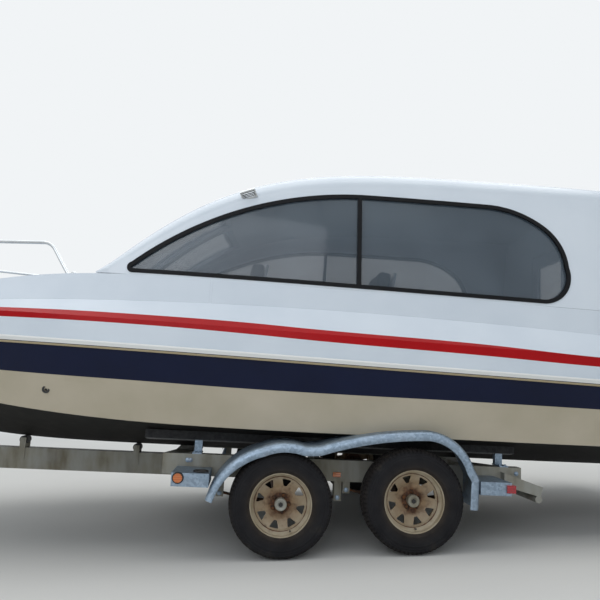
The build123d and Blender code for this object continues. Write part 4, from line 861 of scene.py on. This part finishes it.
# U-bolts that hold each axle on its leaf springs, with their clamp plates and nuts
clamps = []
U_BOLT = [(-31, -66), (-31, 22), (-25, 31), (25, 31), (31, 22), (31, -66)]
SPRING_Y, U_BOLT_YS, AXLE_BEAMS = 860, (842, 878), ((432.8, 294.1), (-393.7, 344.7))
for beam_x, beam_z in AXLE_BEAMS:
    for y in U_BOLT_YS:
        legs = [(beam_x + dx, y, beam_z + dz) for dx, dz in U_BOLT]
        clamps.append(tube("u_bolt", legs, 5, smooth=False))
    plate = block("clamp_plate", (84, 62, 6), (beam_x, SPRING_Y, beam_z - 58))
    bevel(plate, 1.5)
    settle(plate)
    clamps.append(plate)
    for dx in (-31, 31):
        for y in U_BOLT_YS:
            clamps.append(copied(small_bolt, "nut", facing((beam_x + dx, y, beam_z - 61), -UP)))
master = joined(clamps, "spring_clamps")
twin = copied(master, "twin", MIRROR)
finish_piece(joined([master, twin], "spring_clamps"), "boat_and_trailer", rusted_steel)

# Amber reflectors on the hangers, bezels of the side lamps, and the rubber rings on the front steps
reflector = block("reflector", (52, 10, 30), (0, 5, 0))
pick(reflector, "FACE", lambda at, normal: normal.y > 0.9)
bpy.ops.mesh.inset(thickness=0.004, depth=-0.002)
bevel(reflector, 2)
settle(reflector)
fixed(reflector, on_both_sides([(58, 900, 452)]), "rail_reflectors", amber_lens)
bezel = turned("bezel", [(0, 35), (5, 35), (8, 33), (15.5, 31), (16, 29), (15, 27.6), (0, 27.6)], 40)
fixed(bezel, on_both_sides([(1060, 1200, 437)]), "lamp_bezels", roller_rubber)
step_ring = turned("step_ring", [
    (0, 47), (4, 48), (9, 46), (11, 42), (10, 36), (6, 34), (3, 34), (3, 0.4), (0, 0.4),
], 40)
places = [facing((930, y, 466), UP) for y in (1128, -1128)]
fixed(step_ring, places, "step_rings", roller_rubber)

# Dark discs in the drain outlets: painted shade inside their holes
OUTLET_X, OUTLET_Z = 1938, 911
outlet_shade_disc = turned("outlet_shade_disc", [(0, 9), (1.5, 9), (2.5, 7), (2.0, 0.4), (0, 0.4)], 24)
places = []
for sign in (1, -1):
    at, normal, hit = landing("hull", (OUTLET_X, sign * 1300, OUTLET_Z), (0, -sign, 0))
    places.append(facing(at, normal))
fixed(outlet_shade_disc, places, "outlet_shade_discs", roller_rubber)

# Louvres of the roof vents: four turned blades over a dark sheet that paints the shade of the opening
# behind them, and two screws
blades = []
# A thin dark sheet behind the blades: painted shade of the vent's opening
louvre_shade = block("vent_shade_sheet", (88, 1.2, 42), (0, 8.4, 0))
bevel(louvre_shade, 0.4, 1)
settle(louvre_shade)
for k in range(4):
    blade = block("blade", (84, 9, 3))
    bevel(blade, 0.8)
    settle(blade)
    blade.data.transform(shifted(0, 10.5, -15 + 10 * k) @ Matrix.Rotation(-0.6, 4, "X"))
    blades.append(blade)
blades = joined(blades, "blades")
VENT_MIDDLE, VENT_LEAN, VENT_RAKE = (755, 968, 2292), -40, 22
vent_at = shifted(*VENT_MIDDLE) @ swung(VENT_LEAN, "X") @ swung(VENT_RAKE, "Y")
vents = [vent_at, MIRROR @ vent_at]
fixed(louvre_shade, vents, "vent_shade_sheets", roller_rubber)
fixed(blades, vents, "vent_blades", stainless_steel)
screw = turned("screw", [(0, 4), (1, 3.8), (2, 2.6), (2.4, 0.3), (0, 0.3)], 16)
places = [side_at @ shifted(x, 8, 0) for side_at in vents for x in (-49, 49)]
fixed(screw, places, "vent_screws", stainless_steel)

# Round feet of the bow rail, each on the deck's own slope
foot = turned("rail_foot", [(-2, 30), (2, 30), (4, 27), (6, 17), (14, 14.5), (16, 13), (-2, 13)], 32)
RAIL_FEET = ((1884, 878), (2600, 711), (3300, 466), (3880, 171))
places = []
for x, y in RAIL_FEET:
    for sign in (1, -1):
        at, normal, hit = landing("deck", (x, sign * y, 2100), (0, 0, -1))
        if not hit or at.z < 1400:
            at, normal, hit = landing("foredeck", (x, sign * y, 2100), (0, 0, -1))
        if hit:
            places.append(facing(at, normal))
fixed(foot, places, "rail_feet", stainless_steel)

# Hatch: two turned dogs and a bevelled acrylic pane on the lid
HATCH_MIDDLE, HATCH_SLOPE, PANE, PANE_CORNER_R = (2520, 0, 1645.2), 6.4, 440, 40
hatch_at = shifted(*HATCH_MIDDLE) @ swung(HATCH_SLOPE, "Y")
pane = block("hatch_pane", (PANE, PANE, 6), (0, 0, 50))
pick(pane, "EDGE", lambda at, normal: min(abs(at.x), abs(at.y)) > PANE / 2 - 1)
bpy.ops.mesh.bevel(offset=PANE_CORNER_R / 1000, segments=6)
bevel(pane, 2)
settle(pane)
pane.data.transform(hatch_at)
finish_piece(pane, "hatch_lid", smoked_acrylic)
dog = turned("dog", [(0, 22), (6, 22), (9, 18), (12, 12), (13, 0.3), (0, 0.3)], 32)
lever = block("lever", (58, 9, 14), (18, 14, 0))
pick(lever, "FACE", lambda at, normal: normal.x > 0.9)
bpy.ops.transform.resize(value=(1, 0.6, 0.7))
bevel(lever, 2.5)
settle(lever)
dog = joined([dog, lever], "dog")
places = [hatch_at @ shifted(-180, y, 52) @ swung(90, "X") for y in (-150, 150)]
fixed(dog, places, "hatch_dogs", moulded_plastic, "hatch_lid")

# Cabin door: a rose plate with a bent lever
rose = turned("rose", [(0, 28), (4, 27), (7, 20), (8, 12), (30, 10), (30, 0.3), (0, 0.3)], 32)
handle = tube("handle", [(0, 26, 0), (0, 38, 0), (12, 46, 0), (60, 48, 0), (118, 46, -2)], 8)
handle = joined([rose, handle], "door_handle")
HANDLE_MIDDLE = (-1911, -245, 1640)
at = shifted(*HANDLE_MIDDLE) @ swung(90, "Z")
fixed(handle, [at], "door_handle", stainless_steel, "cabin_door")

# Dash: five dials in chromed rings, their needles, and a row of rocker switches
DASH_MIDDLE, DASH_SLOPE = (1425, 0, 1562.5), math.atan2(90, 125)
dash_at = shifted(*DASH_MIDDLE) @ swung(90, "Z") @ Matrix.Rotation(DASH_SLOPE, 4, "X")
ring = turned("dial_ring", [(0, 41), (8, 41), (10, 39), (9.5, 36), (5, 35), (0, 35)], 40)
face = turned("dial_face", [(0, 35), (4.5, 35), (4.5, 0.3), (0, 0.3)], 40)
needle = block("needle", (32, 1, 2.2), (10, 5.5, 0))
pick(needle, "FACE", lambda at, normal: normal.x > 0.9)
bpy.ops.transform.resize(value=(1, 1, 0.3))
settle(needle)
DIALS = [(560, 0.72), (495, 0.72), (430, 1.0), (350, 1.0), (285, 0.72)]  # to starboard, and scale
places = [dash_at @ shifted(-side, 0, 0) @ Matrix.Scale(size, 4) for side, size in DIALS]
fixed(ring, places, "dial_rings", stainless_steel)
fixed(face, places, "dial_faces", moulded_plastic)
readings = [at @ Matrix.Rotation(0.6 + 0.8 * k, 4, "Y") for k, at in enumerate(places)]
fixed(needle, readings, "dial_needles", amber_lens)
rocker = block("rocker", (20, 8, 34), (0, 4, 0))
pick(rocker, "EDGE", lambda at, normal: at.y > 7 and abs(at.x) < 1 and at.z > 0)
bpy.ops.transform.translate(value=mm(0, 4, 0))
bevel(rocker, 1.2)
settle(rocker)
places = [dash_at @ shifted(side, 0, 0) for side in range(470, 621, 30)]
fixed(rocker, places, "rocker_switches", moulded_plastic)

# Outboard: a rubber belt round the cowl's seam, a latch, and dark bars that paint the shade inside the
# slots of the air intake
TILT_PIVOT, STOWED_TILT, COWL_X = (-2878, 0, 1135), 50, -3100
BELT_FOOT_Z, BELT_TOP_Z = 1268, 1292
pivot_at = shifted(*TILT_PIVOT)
tilt_at = pivot_at @ swung(STOWED_TILT, "Y") @ pivot_at.inverted()
belt = copied(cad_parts["motor_cowl"], "cowl_belt", (LEAN @ tilt_at).inverted())
for key in list(belt.keys()):
    del belt[key]
belt.parent = None
focus(belt)
bpy.ops.object.mode_set(mode="EDIT")
bpy.ops.mesh.select_all(action="SELECT")
bpy.ops.mesh.remove_doubles(threshold=0.00005)
for height, up_side in ((BELT_FOOT_Z, -1), (BELT_TOP_Z, 1)):
    bpy.ops.mesh.select_all(action="SELECT")
    bpy.ops.mesh.bisect(plane_co=mm(COWL_X, 0, height), plane_no=(0, 0, up_side), clear_outer=True)
bpy.ops.object.mode_set(mode="OBJECT")
wrap = belt.modifiers.new("belt", "SOLIDIFY")
wrap.thickness = 0.005
wrap.offset = 1
bevel(belt, 1.2, 2)
settle(belt)
belt.data.transform(tilt_at)
finish_piece(belt, "motor", roller_rubber)
# Dark bars on the cowl: painted shade inside the slots of the air intake
slot_shade_bar = block("intake_shade_bar", (10, 190, 9))
bevel(slot_shade_bar, 3, 3)
settle(slot_shade_bar)
places = [tilt_at @ shifted(COWL_X - 204 + 2 * k, 0, 1440 + 24 * k) for k in range(5)]
fixed(slot_shade_bar, places, "intake_slot_shades", roller_rubber, "motor")
latch = block("latch", (14, 40, 62))
pick(latch, "FACE", lambda at, normal: normal.z < -0.9)
bpy.ops.transform.resize(value=(0.5, 0.8, 1))
bevel(latch, 4, 3)
settle(latch)
latch_at = tilt_at @ shifted(COWL_X - 178, 0, 1282)
fixed(latch, [latch_at], "cowl_latch", cast_aluminium, "motor")

# Rolled edge of the deck moulding: a fine bead along its crease, given as (X, Z), and the joint
# between its two halves, a pair of beads that goes up from the crease
CREASE = [
    (-2800, 1412), (-1937.5, 1456), (-1075, 1491), (-212.5, 1513), (650, 1519), (1512.5, 1506),
    (2375, 1481), (3237.5, 1447), (4100, 1404),
]
BEAD_R, JOINT_BEAD_R, JOINT_X, JOINT_GAP, JOINT_TOP_Z = 2.6, 1.8, 963, 16, 1671


def crease_z(x):
    """The crease's Z at X, on a smooth line through its points."""
    k = next(k for k in range(len(CREASE) - 1) if CREASE[k][0] <= x <= CREASE[k + 1][0])
    rows = [CREASE[max(0, min(len(CREASE) - 1, k + d))] for d in (-1, 0, 1, 2)]
    span = rows[2][0] - rows[1][0]
    t = (x - rows[1][0]) / span
    before = (rows[2][1] - rows[0][1]) / (rows[2][0] - rows[0][0]) * span
    after = (rows[3][1] - rows[1][1]) / (rows[3][0] - rows[1][0]) * span
    return ((2 * t**3 - 3 * t**2 + 1) * rows[1][1] + (t**3 - 2 * t**2 + t) * before
            + (3 * t**2 - 2 * t**3) * rows[2][1] + (t**3 - t**2) * after)


def on_flank(points):
    """Where (X, Z) points, seen from port, lie on the deck moulding."""
    marks = [landing("deck", (x, 1400, z), (0, -1, 0)) for x, z in points]
    return [tuple(at) for at, normal, hit in marks if hit]


beads = []
for low_x, high_x in ((-2420, JOINT_X - JOINT_GAP), (JOINT_X, 2600)):
    count = int((high_x - low_x) / 120)
    xs = [low_x + (high_x - low_x) * k / count for k in range(count + 1)]
    beads.append(tube("crease_bead", on_flank([(x, crease_z(x)) for x in xs]), BEAD_R, sides=1))
for x in (JOINT_X - JOINT_GAP, JOINT_X):
    foot_z = crease_z(x)
    points = [(x, foot_z + (JOINT_TOP_Z - foot_z) * k / 8) for k in range(9)]
    beads.append(tube("joint_bead", on_flank(points), JOINT_BEAD_R, sides=1))
master = joined(beads, "deck_beads")
settle(master)
twin = copied(master, "twin", MIRROR)
finish_piece(joined([master, twin], "deck_beads"), "boat_and_trailer", white_gelcoat,
             smooth=60)

# Jack: a ribbed grip on the crank
ribs = [(3 + 4 * k + d, 16 if d else 14.4) for k in range(18) for d in (0, 2)]
grip = turned("grip", [(0, 12.3), (0, 15)] + ribs + [(78, 15), (80, 12.3)], 28)
GRIP_FOOT = (4780, -86, 738)
at = shifted(*GRIP_FOOT) @ swung(90, "X")
fixed(grip, [at], "jack_grip", roller_rubber)
for master in (bolt, small_bolt, reflector, bezel, step_ring, outlet_shade_disc, louvre_shade, blades, screw, foot,
               dog, handle, ring, face, needle, rocker, slot_shade_bar, latch, grip):
    bpy.data.objects.remove(master)


# ---- Floor, light and camera ----

def paler_for_camera(tree, shader_out, output, code):
    """Shows a plain pale colour to the camera, and to mirrors and glass."""
    path = add(tree, "LightPath")
    seen = add(tree, "Math", (path.outputs["Is Camera Ray"], path.outputs["Is Glossy Ray"]),
               operation="MAXIMUM")
    seen = add(tree, "Math", (seen, path.outputs["Is Transmission Ray"]), operation="MAXIMUM")
    backdrop = add(tree, "Background", {"Color": code, "Strength": 1.0})
    feed(tree, add(tree, "MixShader", (seen, shader_out, backdrop)), output.inputs["Surface"])


# The floor fades into the backdrop between these distances in metres from the boat's middle
BACKDROP, FLOOR_FADE = "F1F4F6", (4.0, 19.0)
bpy.ops.mesh.primitive_plane_add(size=80)
floor = bpy.context.object
floor.name = "floor"
mat, tree, shader, where = start("pale_floor", "DEDDD9", 0.9, specular_ior_level=0.0,
                                 emission_strength=1.0)
near = blotches(tree, where, 2500, [(0.3, "DBDAD6"), (0.7, "E2E1DD")])
reach = add(tree, "VectorMath", (where,), operation="LENGTH").outputs["Value"]
far = add(tree, "MapRange", (reach, *FLOOR_FADE), interpolation_type="SMOOTHSTEP")
dress(tree, shader, add(tree, "Mix", {0: far, 6: near, 7: "000000"}, data_type="RGBA"))
glow = add(tree, "Mix", {0: far, 6: "000000", 7: BACKDROP}, data_type="RGBA")
feed(tree, glow, shader.inputs["Emission Color"])
floor.data.materials.append(mat)

world = bpy.data.worlds.new("studio")
world.use_nodes = True
bpy.context.scene.world = world
tree = world.node_tree
back = tree.nodes["Background"]
back.inputs["Color"].default_value = linear("DDE4EA")
back.inputs["Strength"].default_value = 0.55
paler_for_camera(tree, back.outputs[0], tree.nodes["World Output"], BACKDROP)


def lamp(name, at, aim, size, power, tint="FFFFFF"):
    """A soft square lamp that looks at a point; places in metres."""
    bpy.ops.object.light_add(type="AREA", location=at)
    light = bpy.context.object
    light.name = name
    light.data.shape = "RECTANGLE"
    light.data.size, light.data.size_y = size
    light.data.energy = power
    light.data.color = linear(tint)[:3]
    light.rotation_euler = (Vector(aim) - Vector(at)).to_track_quat("-Z", "Y").to_euler()


lamp("overhead", (0, 0.5, 9), (0, 0, 0), (14, 9), 495)
lamp("port_side", (2.5, 10, 5.5), (0, 0, 1.2), (9, 5), 200, "F4F8FF")
lamp("starboard_side", (-3, -10, 6), (0, 0, 1), (9, 5), 200)

# Camera fitted to the photograph: 601 pixels of focal length in a frame of 600
CAMERA_AT, FOCAL_PIXELS, FRAME_PIXELS, SENSOR = (-0.065, 4.95, 1.058), 601, 600, 36
YAW, TILT_UP, ROLL = math.radians(4.85), math.radians(7.86), math.radians(0.5)
ahead = Vector((-math.sin(YAW), -math.cos(YAW), 0))
right = Vector((-math.cos(YAW), math.sin(YAW), 0))
look = ahead * math.cos(TILT_UP) + UP * math.sin(TILT_UP)
up = right.cross(look)
turn = Matrix((right, up, -look)).transposed()
bpy.ops.object.camera_add(location=CAMERA_AT)
camera = bpy.context.object
camera.rotation_euler = (Matrix.Rotation(-ROLL, 3, "Y") @ turn).to_euler()
camera.data.sensor_width = SENSOR
camera.data.lens = SENSOR * FOCAL_PIXELS / FRAME_PIXELS
camera.data.clip_end = 200
bpy.context.scene.camera = camera
bpy.context.scene.view_settings.view_transform = "Standard"
